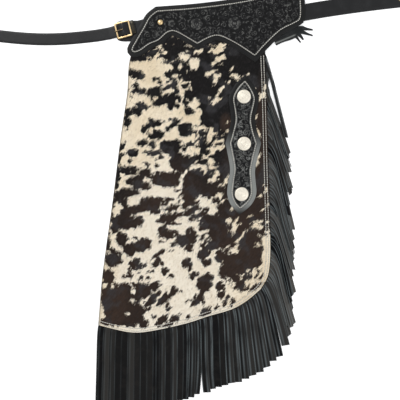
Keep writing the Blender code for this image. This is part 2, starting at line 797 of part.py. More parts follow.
make_legs(HAIR)
make_fringe(SUEDE)
make_leg_straps(BLACK_LEATHER)
make_yokes(BLACK_LEATHER, CARVED_LEATHER)
make_overlays(BLACK_LEATHER, CARVED_LEATHER)
make_ornaments(SILVER, BRASS)
make_front_strap(BLACK_LEATHER)
make_buckle(BLACK_LEATHER, BRASS)
make_back_straps(BLACK_LEATHER, BRASS)
make_hip_ties(BLACK_LEATHER)
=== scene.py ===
"""Looks of the hide chaps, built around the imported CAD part.

Metres, +Z up. The tables repeat the part's named values, with y from the waist-hem middle, and
add_piece moves each piece by MIDDLE_Y. The left side is modelled, and the right one mirrors it.
"""

import math
import random

import bpy
import numpy as np
from mathutils import Matrix, Vector
from mathutils.geometry import delaunay_2d_cdt


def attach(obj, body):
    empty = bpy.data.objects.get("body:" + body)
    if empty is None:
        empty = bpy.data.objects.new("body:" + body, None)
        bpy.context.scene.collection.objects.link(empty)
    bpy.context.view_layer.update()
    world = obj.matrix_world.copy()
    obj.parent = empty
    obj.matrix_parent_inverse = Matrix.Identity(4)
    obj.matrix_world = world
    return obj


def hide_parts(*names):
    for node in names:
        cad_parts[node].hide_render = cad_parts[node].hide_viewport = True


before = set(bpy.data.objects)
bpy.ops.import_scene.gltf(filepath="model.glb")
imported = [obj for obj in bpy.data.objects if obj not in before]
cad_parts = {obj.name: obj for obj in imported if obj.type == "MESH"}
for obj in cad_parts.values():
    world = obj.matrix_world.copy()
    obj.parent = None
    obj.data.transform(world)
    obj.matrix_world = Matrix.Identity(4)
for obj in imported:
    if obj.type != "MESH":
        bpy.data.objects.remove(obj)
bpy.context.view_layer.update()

# Leather thicknesses, gap and layer heights, as in the part
GAP = 0.0003
HIDE = 0.0022
FRINGE = 0.0014
YOKE = 0.0020
TOOLED = 0.0025
STRAP = 0.0020
CHAPE = 0.0016
HIDE_LIFT = FRINGE + GAP
YOKE_Z = HIDE_LIFT + HIDE + GAP
PANEL_Z = YOKE_Z + YOKE + GAP
CONCHO_Z = PANEL_Z + TOOLED + GAP
UNDER_YOKE_Z = YOKE_Z - GAP - STRAP
PANEL_TOP = PANEL_Z + TOOLED
BORDER, MITRE_LIMIT = 0.0105, 0.5
CURVE_STEPS = 3
MIDDLE_Y = 0.0153
EDGE_LEVEL, EDGE_FADE = 0.108, 0.150
SEAM_LEVEL, SEAM_FADE = 0.255, 0.190

# Leg panel edges: x, y
INNER_EDGE = (
    (0.1234, -0.324), (0.132, -0.216), (0.143, -0.13), (0.158, -0.024), (0.17, 0.072), (0.18, 0.149),
    (0.193, 0.235), (0.1965, 0.3), (0.207, 0.34),
)
HEM = (
    (0.1234, -0.324), (0.162, -0.334), (0.206, -0.342), (0.252, -0.338), (0.334, -0.32), (0.389, -0.302),
    (0.441, -0.287), (0.479, -0.266), (0.512, -0.238),
)
OUTER_EDGE = (
    (0.512, -0.238), (0.529, -0.208), (0.535, -0.165), (0.535, -0.1), (0.531, 0.05), (0.526, 0.24),
    (0.523, 0.318), (0.522, 0.38),
)
TOP_EDGE = (
    (0.207, 0.34), (0.246, 0.362), (0.29, 0.392), (0.367, 0.4), (0.45, 0.398), (0.522, 0.38),
)
# Folds of the hide: x and y of the upper end, x and y of the lower end, half width, height
FOLDS = (
    (0.259, 0.262, 0.232, -0.075, 0.048, 0.006), (0.338, 0.11, 0.3, -0.17, 0.04, 0.004),
    (0.25, -0.08, 0.205, -0.215, 0.045, 0.0045),
)
ROLL_FROM_EDGE, ROLL_HALF, ROLL_HEIGHT = 0.019, 0.019, 0.0040

# Fringe
STRANDS = 68
STRAND_LENGTH = 0.182
FRINGE_TOP_Y = 0.318
STRIP_UNDER, STRIP_OUT = 0.010, 0.0015
SLIT = 0.0009
NARROW_STRAND = 0.0074
SHINGLE_GAP, OVERLAP_FADE = 0.0007, 0.001
LEAVE_SHARE, TURN_LENGTH, TILT_LENGTH = 0.60, 0.045, 0.030
FIRST_SECTION, SECTION_SPREAD = 0.004, 1.6
STRAIGHT_TURN, STRAIGHT_STEPS, BENT_STEPS = math.radians(9), 3, 6
FLOOR_CLEARANCE = 0.0003
# Hanging direction: share of the fringe's length, degrees from straight down
HANG = (
    (0, -1.5), (0.12, -0.5), (0.28, 0.5), (0.38, 6.5), (0.45, 11.5), (0.57, 13), (0.63, 14.3), (0.85, 13.9),
    (1, 12),
)

# Yoke panel at its stitch line: x, y, corner
YOKE_PANEL = (
    (0.2645, 0.43, 1), (0.246, 0.415, 0), (0.232, 0.39, 0), (0.214, 0.359, 0), (0.203, 0.338, 0),
    (0.209, 0.33, 0), (0.225, 0.335, 0), (0.246, 0.35, 0), (0.268, 0.359, 0), (0.288, 0.377, 0),
    (0.308, 0.38, 0), (0.341, 0.362, 0), (0.361, 0.35, 1), (0.386, 0.364, 0), (0.412, 0.37, 0),
    (0.45, 0.353, 0), (0.48, 0.334, 0), (0.499, 0.321, 1), (0.523, 0.348, 0), (0.56, 0.383, 0),
    (0.595, 0.401, 0), (0.609, 0.417, 0), (0.607, 0.484, 1), (0.583, 0.481, 0), (0.487, 0.455, 0),
    (0.367, 0.438, 0),
)
# Overlay at its stitch line: y, left x, right x, corner
OVERLAY = (
    (0.262, 0.475, 0.475, 1), (0.246, 0.459, 0.487, 0), (0.222, 0.447, 0.498, 0), (0.2, 0.4495, 0.495, 0),
    (0.17, 0.453, 0.489, 0), (0.14, 0.447, 0.494, 0), (0.112, 0.439, 0.503, 1), (0.088, 0.444, 0.497, 0),
    (0.05, 0.45, 0.489, 0), (0.022, 0.446, 0.49, 0), (-0.008, 0.443, 0.492, 0), (-0.03, 0.45, 0.481, 0),
    (-0.045, 0.463, 0.463, 1),
)
CONCHOS = ((0.4726, 0.224), (0.473, 0.111), (0.467, -0.010))
CONCHO_RADIUS = 0.0165
YOKE_STUD = (0.272, 0.402)

# Front strap: x, y and height of its middle
STRAP_WIDTH = 0.029
FRONT_STRAP = (
    (-0.23, 0.377, UNDER_YOKE_Z + STRAP / 2), (-0.205, 0.3765, UNDER_YOKE_Z + STRAP / 2),
    (-0.17, 0.3755, STRAP / 2), (-0.139, 0.373, STRAP / 2), (-0.086, 0.367, STRAP / 2),
    (-0.04, 0.3635, STRAP / 2), (0, 0.3625, STRAP / 2), (0.045, 0.364, STRAP / 2), (0.09, 0.368, STRAP / 2),
    (0.12, 0.3715, STRAP / 2),
)
BUCKLE_AT = (0.183, 0.385)
BUCKLE_TURN = math.radians(14)
BUCKLE_TILT = math.radians(7)
FRAME_LENGTH, FRAME_WIDTH = 0.0375, 0.039
BAR, BAR_THICK, CENTRE_BAR = 0.004, 0.0024, 0.003
FRAME_CORNER = 0.0035
FRAME_Z = 0.0081
# Front strap through the buckle: x, height of its middle, hole
STRAP_IN_BUCKLE = (
    (-0.035, 0.0011, 0), (-0.021, 0.0034, 0), (-0.0135, 0.0034, 0), (-0.0105, 0.0056, 0),
    (-0.007, 0.0086, 1), (-0.0045, 0.011, 1), (-0.0022, 0.0127, 1), (0.0016, 0.0133, 0),
    (0.0046, 0.0122, 0), (0.009, 0.0099, 0), (0.0142, 0.0074, 0), (0.02, 0.0072, 0), (0.0295, 0.0077, 0),
)
CHAPE_WIDTH = 0.026
CHAPE_OUT = ((0.0560, 0.0031), (0.0300, 0.0031), (0.0145, 0.0031), (0.0060, 0.0041))
WRAP_RADIUS, WRAP_FROM, WRAP_TO = 0.0030, 270, 95
CHAPE_BACK = ((0.0042, 0.0100), (0.0085, 0.0074), (0.0132, 0.0050), (0.0210, 0.0050))
SAFE = (
    (0.242, 0.403, 1), (0.228, 0.407, 0), (0.175, 0.406, 0), (0.1655, 0.396, 0), (0.166, 0.368, 0),
    (0.176, 0.358, 0), (0.205, 0.358, 0), (0.23, 0.363, 0), (0.242, 0.373, 1),
)
TONGUE_RADIUS = 0.00125
TONGUE = (
    (-0.0003, 0.0137), (-0.005, 0.0132), (-0.01, 0.0112), (-0.015, 0.0097), (-0.019, 0.0091),
    (-0.0212, 0.0084),
)
KEEPER_AT, KEEPER_WIDTH, KEEPER_THICK, KEEPER_PLAY = 0.0245, 0.007, 0.0012, 0.0008
KEEPER_FOOT, KEEPER_INNER = 0.0065, 0.0089

LEG_STRAP_WIDTH = 0.025
LEG_STRAP = ((0.212, 0.281), (0.497, 0.277))
BACK_WIDTH = 0.040
BACK_STRAP = (
    (0.56, 0.415, UNDER_YOKE_Z + STRAP / 2), (0.618, 0.4265, UNDER_YOKE_Z + STRAP / 2),
    (0.665, 0.435, STRAP / 2), (0.74, 0.446, STRAP / 2), (0.82, 0.456, STRAP / 2),
    (0.905, 0.465, STRAP / 2),
)
BACK_HOLES = (0.795, 0.825, 0.855, 0.885)
BACK_TIP = ((0.004, 0.95), (0.008, 0.85), (0.013, 0.66), (0.017, 0.425))

# The hide's pattern is drawn on a chart: 2.4 mm a square, x from the inner side, y down
CHART, CHART_X, CHART_Y = 0.0024, 47, 190
# Black patches: x, y, half length, half width, lean in degrees
PATCHES = (
    (138, 56, 11, 5, 5), (152, 52.5, 9, 3.5, 10), (171, 52, 8.5, 9, 0), (168, 61.5, 6, 1.6, -10),
    (178, 61, 4.5, 3, 30), (175, 66, 3, 4.5, 0), (176.5, 71, 6, 3.4, 10), (169.5, 74.5, 4.4, 3.6, 60),
    (131, 72.5, 3.6, 3.8, 0), (134, 71, 6, 2.2, 0), (138.5, 75, 6, 4, -10), (156.5, 79, 3.6, 1.7, 10),
    (159.7, 80.6, 2.2, 2.2, 0), (167, 82, 4, 0.9, 15), (175.5, 83, 6.5, 2.8, 100), (169, 86, 3, 1.8, 30),
    (166.5, 88, 3, 1.2, 20), (136.5, 85.2, 3.2, 3, 0), (139, 90.7, 8, 3, 0), (147, 89.7, 7, 1.4, 0),
    (155, 91.5, 8.6, 5, 5), (130.5, 95.5, 1, 1.4, 0), (167, 99.5, 13.5, 4.4, 12), (174, 93, 5.5, 2.2, 15),
    (171.5, 105, 3.8, 4.6, 0), (160, 103, 6, 2.8, 10), (178, 98, 6, 3, 0), (141, 105, 5, 3.5, 0),
    (146, 106, 3.6, 2.5, 0), (136, 110, 8, 3.8, 10), (139, 112, 3.8, 3.2, 0), (128.5, 112, 4.4, 4.5, 0),
    (127, 119, 3, 7.5, 0), (128, 122.5, 3.8, 4.2, 0), (146, 127.5, 6, 3.2, 40), (151.5, 121, 3, 3.6, 0),
    (157, 123.5, 6.6, 2.6, 25), (144, 130, 3.5, 2, 0), (172.5, 125, 8.6, 2.1, 38), (177, 123.5, 4, 1.8, 35),
    (174, 119.5, 4.5, 1, 5), (167, 131, 4, 1.2, 30), (186, 129, 8, 8.5, 0), (157, 134.8, 7.6, 4.6, 10),
    (143, 142, 5, 3.8, -5), (152.5, 144, 3.8, 3.5, 0), (122.5, 146.5, 5, 2.1, 60), (122, 154, 3.2, 2.3, 40),
    (119, 161, 6.5, 1.5, 82), (117.5, 177, 16, 2.6, 83), (133, 152, 5.6, 4.6, 0), (130.5, 160, 2.3, 2.3, 0),
    (147, 151.5, 2.5, 1, 0), (170, 147, 10, 7.4, 0), (176, 144, 7, 5, 0), (156, 152.5, 7, 2.8, 5),
    (178, 153, 9, 7, 0), (181, 163, 11, 9, 0), (161, 156.5, 2.6, 2, 0), (155, 157.5, 1.5, 0.9, 0),
    (147, 163.5, 2.3, 1.3, 0), (157, 165.3, 2.7, 1.3, 15), (126, 170.3, 8, 3.7, 0), (133, 171.5, 5, 3.5, 0),
    (137.5, 169.5, 3, 1.2, 20), (146, 173.5, 6, 5.6, 0), (139, 181, 6, 7.4, 0), (131, 180.5, 4.6, 3.8, 0),
    (145, 186, 5.6, 4.2, 0), (136.5, 187, 3, 5, 0), (165, 179.5, 14.5, 7.4, -8), (174, 176, 9, 4.5, 0),
    (178, 190.5, 1.9, 0.9, 0), (128, 192, 11, 4.6, 5), (118, 195.5, 4.6, 4.8, 0), (122, 200, 5.5, 4, 0),
    (125, 204, 5, 2.8, -25), (115, 202, 8, 2.6, 83), (152, 204, 12.5, 7.4, -10), (159, 200, 8, 3.5, -10),
    (155, 211, 5.5, 3.2, 0), (168, 199.5, 3.6, 1.5, 0), (138, 208.5, 10, 3.6, 0), (131, 213, 9, 7, 0),
    (122, 216, 11, 6.5, 0), (127, 221.5, 17, 7.5, 5), (115, 228, 4, 5, 0), (172, 208, 6.6, 3, 10),
    (179, 205.5, 3.2, 1.1, 0), (168, 217.5, 10.5, 4.6, 15), (180, 214.5, 9, 2.4, -5),
    (172, 223.5, 5, 1.2, 0), (122, 238.7, 5.7, 7.3, 0), (108.5, 242, 8, 2.2, 85), (112, 249.5, 3, 1.8, 0),
    (113, 259.2, 8.4, 7, 0), (120, 262, 3, 1.5, 0), (130, 249, 6.8, 6.6, 0), (142.6, 244.6, 9, 6.6, 25),
    (136, 247.5, 5, 4, 0), (137, 237.5, 2, 1, 0), (136, 263, 6.8, 5, 20), (142, 266, 6, 1.8, 20),
    (132, 268, 3.6, 2, 0), (108.2, 276, 6.8, 7, 0), (109.5, 282, 3.6, 4, 0), (130, 274.5, 3, 2.8, 0),
    (124, 276, 2.3, 1, 0), (137.5, 273, 1.8, 0.8, 0), (141, 278, 3, 1.8, 60), (149, 277.5, 1.5, 0.8, 0),
    (101.5, 285, 6, 1.3, 85), (116, 300, 16.5, 17, 0), (125, 288.5, 7.5, 6, 0), (118, 315, 13.5, 11, 0),
    (133, 308, 10, 14, 0), (139, 315, 6, 9.5, 0), (129, 321, 12, 5.5, 0), (144, 323.5, 4.8, 4.6, 0),
    (143, 290.5, 8.2, 8.6, 20), (154, 286, 6.8, 3.5, 30), (152, 299, 11.5, 4.4, 52),
    (158.5, 254, 7.2, 2, 35), (157, 262, 5.6, 3, 70), (162.5, 264, 2.2, 1.5, 0), (152, 271, 2.6, 1.3, 25),
    (165, 271.5, 4, 3.5, 50), (171, 276, 2.9, 1.6, -20), (163, 231, 6, 5, 60), (170, 234.7, 6.2, 3.7, 0),
    (174.5, 232, 3.6, 2.7, 0), (167, 238.7, 2, 1.5, 0), (161, 241, 1.6, 0.9, 0), (173, 245.5, 2.2, 1.7, 30),
    (172, 250, 1.3, 0.6, 0), (173.5, 291, 5, 3.4, 50), (164.2, 299.5, 7.8, 3.6, 35),
    (165, 294.5, 3.6, 0.9, 55), (168, 304.5, 3, 1.4, 50), (169, 309, 2.6, 1, 45), (154, 317, 2.2, 1, 30),
    (152, 315, 1.5, 0.8, 0), (162, 320.5, 7.6, 3.5, 45), (173, 320.5, 8.6, 3.4, 42),
    (191.5, 236.5, 5.6, 9, 0), (183.5, 240.3, 8.6, 6, 0), (189, 247, 4, 5, 0), (205, 283, 8, 8.6, 0),
    (209, 278, 4.6, 5, 0), (203, 290, 3.6, 3.8, 0), (197.6, 299.5, 6.8, 4.5, 45), (203.5, 303, 2, 1, 45),
    (186.5, 262.5, 5.2, 4.2, 60), (190, 269.5, 1.9, 2.3, 0), (193.8, 274.8, 4.8, 3.4, 20),
    (206.8, 262.3, 5, 3.8, 20), (221, 286, 4.9, 5.2, 0), (221, 294.5, 3.6, 4.6, 0),
    (226, 300.5, 4.8, 1.8, 65), (232.5, 302, 4.4, 2, 60), (206, 311.5, 6.4, 4, 35),
    (216.5, 308, 3, 1.4, 45), (189, 316, 3.2, 1.4, 50), (182, 291, 1.2, 0.8, 0), (187, 301, 1.6, 0.8, 40),
    (179, 317, 1.5, 1, 60), (204, 253.5, 7, 5, 35), (213, 244.5, 12, 5.4, 10), (203, 236.7, 3.6, 2.2, 80),
    (163, 96.5, 10, 1.7, 22), (175, 85, 3.5, 5, 0), (194, 157, 5, 2, 0), (129, 167.6, 9, 1.6, 0),
    (153, 172.6, 3.4, 1.3, 0), (166, 203.5, 4, 2, 40), (175, 234, 2.6, 2, 0), (192, 244, 2.6, 4, 0),
    (221, 248.7, 4, 1.4, 0), (103.5, 307, 3, 5.5, 0), (112, 322.5, 13, 3.6, -6), (140, 284.2, 10, 2, 0),
    (148, 308.4, 4, 1.8, 15), (166.5, 325.8, 4.5, 1.5, 15), (190.5, 266.5, 1.6, 4.5, 0),
    (112.5, 252.4, 7, 1.6, 0),
)
# The black saddle down the hip side is a run of big patches: the same columns
SADDLE = (
    (205, 60, 22, 16, 0), (240, 62, 30, 20, 0), (205, 82, 20, 14, 0), (245, 95, 32, 30, 0),
    (215, 112, 18, 18, 0), (208, 100, 16, 10, 0), (190, 60, 10, 6, 0), (204, 142, 6, 16, 90),
    (225, 128, 18, 14, 0), (245, 140, 26, 30, 0), (228, 160, 20, 18, 0), (195, 160, 14, 6, 0),
    (200, 182, 18, 15, 0), (226, 190, 20, 20, 0), (248, 185, 22, 35, 0), (190, 195, 8, 14, 0),
    (228, 210, 16, 12, 0), (205, 216, 14, 6, 0), (214, 227, 15, 11, 0), (222, 236, 12, 9, 0),
    (250, 215, 20, 22, 0), (243, 246, 20, 21, 0), (236, 262, 15.5, 13, 0), (228, 272, 9, 7, 0),
    (235, 279.5, 7, 5.5, 0), (220.5, 256, 5.5, 6.5, 0), (252, 258, 10.5, 14, 0), (240.5, 286, 6, 4.6, 0),
    (202, 130, 8, 5, 0), (184, 200, 5, 9, 0), (258, 60, 14, 20, 0), (246, 287, 4.6, 3.6, 30),
    (188, 73, 8, 10, 0), (191, 92, 9, 8, 0), (202, 110, 12, 12, 0), (214, 124, 12, 10, 0),
    (176, 47, 14, 6, 0), (150, 56, 16, 3, 8), (186, 60, 5, 6, 0), (222, 136, 10, 8, 0), (184, 104, 8, 5, 0),
    (268, 75, 22, 5, 90), (268, 122, 26, 5, 90), (268, 172, 26, 5, 90), (268, 214, 18, 5, 90),
    (173, 39.5, 17, 5, 0), (216, 40.5, 12, 4, 0),
)
# Cream gaps in the patches: the same columns
GAPS = (
    (185, 56, 6, 4.4, 0), (198, 51.5, 6, 2.2, 15), (194.5, 63, 6, 6.2, 0), (218.5, 48.8, 8.8, 4.2, 28),
    (220, 58.5, 9, 3, 36), (221.5, 63.5, 1.6, 2.2, 0), (211, 72.7, 5, 2.3, 20), (217, 75, 4, 3.2, 0),
    (215.7, 80, 5.4, 2.1, 55), (232, 69, 2.1, 1.1, 50), (235, 74.7, 4.2, 1.7, 10),
    (238, 78.3, 4.4, 1.8, 35), (245, 77, 4, 2, 25), (247.3, 75, 1.8, 1.3, 60), (221, 89.5, 5.6, 1.7, 55),
    (228, 82.5, 2, 0.8, 35), (186, 82, 4.6, 1.5, 0), (190.5, 85.5, 1.4, 4.6, 0), (187.5, 89, 3, 1.2, 0),
    (182.5, 94, 2.2, 7, 0), (181, 65.5, 2.5, 2, 0), (176, 75.5, 3.6, 1.6, 20), (180, 80, 2.2, 8, 0),
    (215.5, 100, 6.6, 2.8, 35), (211, 97.5, 2.2, 1.3, 0), (194.5, 103.5, 6.5, 5, 35),
    (195, 113, 7.5, 6.6, 0), (189, 118.5, 9, 4.6, 0), (197, 117, 6.2, 4.3, 60), (200.5, 128, 8.4, 3.4, -10),
    (184, 106, 4, 3, 0), (176, 102, 2.6, 1.2, 20), (211, 131.5, 5.6, 2.8, 80), (216, 132.5, 4.8, 1.2, 40),
    (225, 133, 4.2, 0.8, 40), (194, 134.5, 4.2, 1, 35), (228, 121.5, 3, 1.1, 30), (262, 95.8, 4.6, 3.4, 0),
    (264.7, 88, 6, 1.6, 90), (259, 99, 1.6, 2.2, 0), (256, 117, 3, 1.1, 60), (258.3, 131.5, 5.6, 2, -65),
    (254, 87, 1.2, 1, 0), (190, 140, 9.4, 5, 10), (190, 150.3, 9.8, 5.2, 0), (209.5, 137, 3.8, 5.6, 0),
    (214, 143.5, 6.2, 2.3, 60), (221.5, 140.5, 5.2, 1.9, 25), (212, 151, 13, 2.9, 32),
    (220, 146, 4.8, 4.6, 0), (199, 159.5, 4.2, 0.8, 35), (211.5, 160, 3.2, 3.8, 0), (217, 162, 3.8, 1.3, 0),
    (196, 166.5, 7.4, 2.9, 5), (208, 167, 8.6, 3, 0), (204.5, 172, 3.2, 1.2, 60), (216, 174, 4.8, 3.4, 60),
    (213.5, 179.3, 5.2, 2.6, 0), (226.3, 181, 4.8, 1.8, 65), (222.7, 184.5, 3.8, 1.1, 15),
    (183, 176.5, 2, 3, 0), (181, 180, 2.6, 2, 0), (187, 171.5, 3.2, 0.8, 35), (229, 176.5, 1.6, 1.1, 0),
    (203, 200, 7.4, 4.4, -20), (212, 208, 6, 7.6, 0), (208, 203.5, 6, 5, 0), (214, 196.3, 4.4, 1.5, 35),
    (220, 195, 3, 3.6, 0), (223, 200.5, 4.4, 1.2, 15), (188, 209, 8, 2.3, 12), (197.3, 211.5, 4.2, 2.5, 15),
    (232.5, 207.5, 1.3, 1.6, 0), (184, 219.5, 7, 3.6, 0), (197, 220, 4.4, 1.6, 30), (229, 220, 4.2, 2.6, 0),
    (251, 215.5, 2.2, 0.9, 40), (255, 221.5, 3.6, 1.3, 30), (258, 159.5, 6.8, 2.3, 70),
    (264, 193.5, 4.8, 1, 50), (266.5, 188, 2.6, 1, 90), (265, 207.5, 3.2, 0.8, 40), (204.5, 238, 5, 6.4, 0),
    (235, 226, 8, 3.2, 72), (241.5, 236.5, 9.6, 1.5, 50), (234, 250.5, 6, 3.4, 30),
    (227, 247.5, 3.2, 1.2, 25), (256, 226, 4.2, 3.4, 0), (262.5, 226.5, 5.2, 1.6, 45),
    (265.5, 240, 11, 2.4, 80), (261, 236.5, 3, 1.6, 60), (258.5, 244.5, 3.4, 2, 20),
    (247, 272, 3.2, 1.8, 30), (255.5, 270.5, 5.6, 2, 40), (267, 257, 14, 3.2, 85), (262, 270, 9, 4.6, 65),
    (258, 279, 6.5, 5.5, 0), (237, 223, 4, 3, 0), (179, 211, 8, 1.6, 12), (184, 144.5, 3.4, 3, 0),
    (117, 209, 7.4, 4, 80), (146, 179.5, 3.4, 2.4, -20), (112, 286.5, 3.2, 1, 0),
    (104.5, 284.5, 3.2, 2.4, 60), (133, 291.5, 4.4, 2.6, 90), (133, 301, 3, 2, 0), (100.5, 311, 3.8, 8, 0),
    (127, 313.5, 3.8, 1, 0), (149, 296.5, 6.4, 1.3, 50), (142.3, 302.5, 3.2, 3.4, 0),
    (133.5, 266.8, 1.4, 0.7, 0), (213, 252, 3, 2, 30), (186, 70, 0.8, 0.5, 0), (225, 262, 2.5, 3, 60),
    (157, 55.3, 8, 2, 18), (191.5, 55.5, 2.2, 1.6, 0), (203, 53, 1.4, 2.6, 0), (180, 103, 3, 1.6, 0),
    (196.5, 144, 2.6, 2.6, 0), (137.8, 173.5, 2, 3, 0), (182, 200, 2.2, 6, 0), (216.5, 209, 2.2, 5, 0),
    (138, 214.6, 6, 1.8, 0), (162, 209.5, 2, 4, 0), (206, 231, 4.5, 2, 0), (261, 221.8, 4.4, 1.7, 20),
    (236.5, 247, 4, 1.8, 20), (229, 281, 8, 2.2, -32), (246, 285.5, 4, 2.4, 10),
)
# Small black islands in the gaps: the same columns
ISLANDS = (
    (195.5, 55.5, 3.6, 2.2, 0), (185.5, 86, 3, 2.6, 0), (189, 111, 5.2, 3.4, 0), (191, 143.5, 5.4, 1.8, 15),
    (184, 148.3, 2.8, 1.6, 0), (216, 200.7, 3.6, 2.5, 0), (203, 236.7, 3.8, 2, 80),
    (258.5, 273.5, 3.8, 1.4, 60), (261.5, 276.5, 2.8, 1, 50), (254.5, 287, 5.6, 1.9, 45),
    (245, 288.5, 2.6, 1.4, 50), (262, 237, 1.6, 0.8, 60), (204, 253, 3, 4, 0), (214, 42.3, 7, 2, 0),
    (152.5, 48.4, 4.2, 1.8, 20), (196.5, 53.3, 3.4, 1, 8), (188.5, 48, 3.4, 3, 0), (172, 77.6, 2.6, 1.8, 0),
    (179.6, 76, 1.6, 3, 0), (187.5, 102.5, 2.2, 3.6, -20), (202.5, 133, 4.2, 3.6, 0),
    (204.5, 151.6, 5.6, 3.4, 0), (184, 146, 5, 1.7, 0), (219, 143.2, 5, 1.4, 0), (223.4, 145, 1.3, 2.2, 0),
    (217, 165, 2.2, 2, 0), (213, 173, 2.6, 2, 40), (197.4, 205.5, 2.6, 4.6, -20), (190, 211.6, 5, 3.2, 20),
    (193, 218.5, 3.6, 1.7, 0), (204.5, 209, 3.6, 1.7, 0), (205.5, 243, 2.4, 3, 0),
    (210.5, 238.5, 1.5, 2.8, 0), (225, 223.6, 3.4, 2, -20), (230.4, 229, 1.7, 5.5, 0),
    (239, 221, 1.8, 4.6, 0), (262.5, 233.5, 3, 2, 0), (224, 262, 2, 2.5, 0), (246, 277.6, 6, 3.2, 25),
    (243, 281.5, 3, 3, 0), (255.8, 286, 6, 2.2, 35),
)
# Where black hair turns brown: x, y, half length, half width, lean, strength
BROWNS = (
    (112, 300, 18, 32, 0, 1), (118, 318, 16, 9, 0, 0.7), (250, 200, 26, 70, 0, 0.75),
    (232, 215, 45, 40, 0, 0.6), (207, 205, 20, 14, 0, 0.5), (262, 150, 9, 60, 0, 0.7),
    (226, 122, 5, 8, 0, 0.9), (180, 163, 10, 8, 0, 0.4), (200, 240, 30, 20, 0, 0.5),
    (212, 285, 26, 22, 0, 0.6), (160, 300, 30, 30, 0, 0.3), (247, 272, 12, 8, 0, 0.9),
    (175, 290, 95, 60, 0, 0.7), (240, 255, 34, 46, 0, 0.85), (120, 235, 26, 40, 0, 0.5),
    (168, 225, 44, 60, 0, 0.8),
)
PALE, PALE_FADE = ((172, 268, 48, 88, 0),), 30
# The hidden leg's pattern is drawn from this seed in the same manner
OTHER_HIDE_SEED = 41
FLOW = math.radians(52)
WANDER_SEED, WANDER_LENGTHS, WANDER_WAVES, WANDER_DEPTH, BLACK_BIAS = 5, (2.1, 4.6), 28, 0.20, 0.45


def smooth(points, steps=CURVE_STEPS):
    """Catmull-Rom curve through the points of one open stretch."""
    points = [Vector(point) for point in points]
    ends = [2 * points[0] - points[1], *points, 2 * points[-1] - points[-2]]
    curve = []
    for a, b, c, d in zip(ends, ends[1:], ends[2:], ends[3:]):
        for step in range(steps):
            t = step / steps
            bend = (2 * a - 5 * b + 4 * c - d) * t * t + (3 * b - a - 3 * c + d) * t**3
            curve.append(b + ((c - a) * t + bend) / 2)
    return [*curve, points[-1]]


def closed_outline(rows, steps=CURVE_STEPS):
    """Closed outline through rows of x, y, corner, smooth but for its corners."""
    rows = [*rows, rows[0]]
    corners = [index for index, row in enumerate(rows) if row[2]]
    outline = []
    for first, last in zip(corners, corners[1:]):
        stretch = [row[:2] for row in rows[first : last + 1]]
        outline += smooth(stretch, steps if len(stretch) > 2 else 1)[:-1]
    return outline


def outset(outline, distance):
    """The outline moved outward all round, with mitred corners. It runs anticlockwise."""
    moved = []
    for before, here, after in zip(outline[-1:] + outline[:-1], outline, outline[1:] + outline[:1]):
        first = (here - before).normalized()
        second = (after - here).normalized()
        normals = [Vector((edge.y, -edge.x)) for edge in (first, second)]
        middle = (normals[0] + normals[1]).normalized()
        moved.append(here + middle * distance / max(MITRE_LIMIT, middle.dot(normals[0])))
    return moved


def resample(points, shares):
    """Points at these shares of the length of a polyline."""
    lengths = [0]
    for a, b in zip(points, points[1:]):
        lengths.append(lengths[-1] + (b - a).length)
    found = []
    for share in shares:
        goal = share * lengths[-1]
        index = max(i for i in range(len(points) - 1) if lengths[i] <= goal)
        part = (goal - lengths[index]) / (lengths[index + 1] - lengths[index])
        found.append(points[index].lerp(points[index + 1], min(1, part)))
    return found


def length_of(points):
    return sum((b - a).length for a, b in zip(points, points[1:]))


def ease(value):
    value = min(1, max(0, value))
    return value * value * (3 - 2 * value)


def turned(vector, angle):
    """The 2D vector turned anticlockwise."""
    return Matrix.Rotation(angle, 2) @ vector


def eased(values):
    values = np.clip(values, 0, 1)
    return values * values * (3 - 2 * values)


def bumped(values):
    """1 at the middle of a fold, 0 at its sides, smooth between."""
    return np.where(np.abs(values) < 1, np.cos(np.pi / 2 * values) ** 2, 0)


def distances(points, path):
    """Distance of each point from a polyline."""
    nearest = np.full(len(points), 1e9)
    path = np.array([tuple(point)[:2] for point in path])
    for a, b in zip(path, path[1:]):
        step = b - a
        along = np.clip(((points - a) @ step) / max(step @ step, 1e-18), 0, 1)
        gap = points - a - along[:, None] * step
        nearest = np.minimum(nearest, np.hypot(gap[:, 0], gap[:, 1]))
    return nearest


FRINGE_PATH = smooth(HEM)[:-1] + smooth(OUTER_EDGE)
INNER_CURVE = smooth(INNER_EDGE)


def hide_floor(points):
    """Height of the hide's underside at each x, y, and how level it is there."""
    from_edge = distances(points, FRINGE_PATH)
    level = np.maximum(
        eased((EDGE_FADE - from_edge) / (EDGE_FADE - EDGE_LEVEL)),
        eased((points[:, 1] - SEAM_FADE) / (SEAM_LEVEL - SEAM_FADE)),
    )
    from_inner = distances(points, INNER_CURVE)
    folds = ROLL_HEIGHT * bumped((from_inner - ROLL_FROM_EDGE) / ROLL_HALF)
    for top_x, top_y, low_x, low_y, half_width, height in FOLDS:
        axis = np.array((low_x - top_x, low_y - top_y))
        offset = points - (top_x, top_y)
        along = offset @ axis / (axis @ axis)
        across = offset - along[:, None] * axis
        away = np.hypot(across[:, 0], across[:, 1]) / half_width
        folds = folds + height * bumped(away) * bumped(2 * along - 1)
    return HIDE_LIFT * level + folds * (1 - level), level


def patch_field(points, rows):
    """Depth inside the nearest patch in chart squares, negative outside."""
    field = np.full(len(points), -1e3)
    for x, y, long, wide, lean in rows:
        turn = math.radians(lean)
        dx, dy = points[:, 0] - x, y - points[:, 1]
        along = (dx * math.cos(turn) + dy * math.sin(turn)) / long
        across = (dy * math.cos(turn) - dx * math.sin(turn)) / wide
        reach = np.hypot(along, across)
        field = np.maximum(field, (1 - reach) * min(long, wide) * np.where(reach > 1, 1.2, 1))
    return field


def chart(points):
    """Chart squares of points in metres."""
    return np.stack([CHART_X + points[:, 0] / CHART, CHART_Y - points[:, 1] / CHART], axis=1)


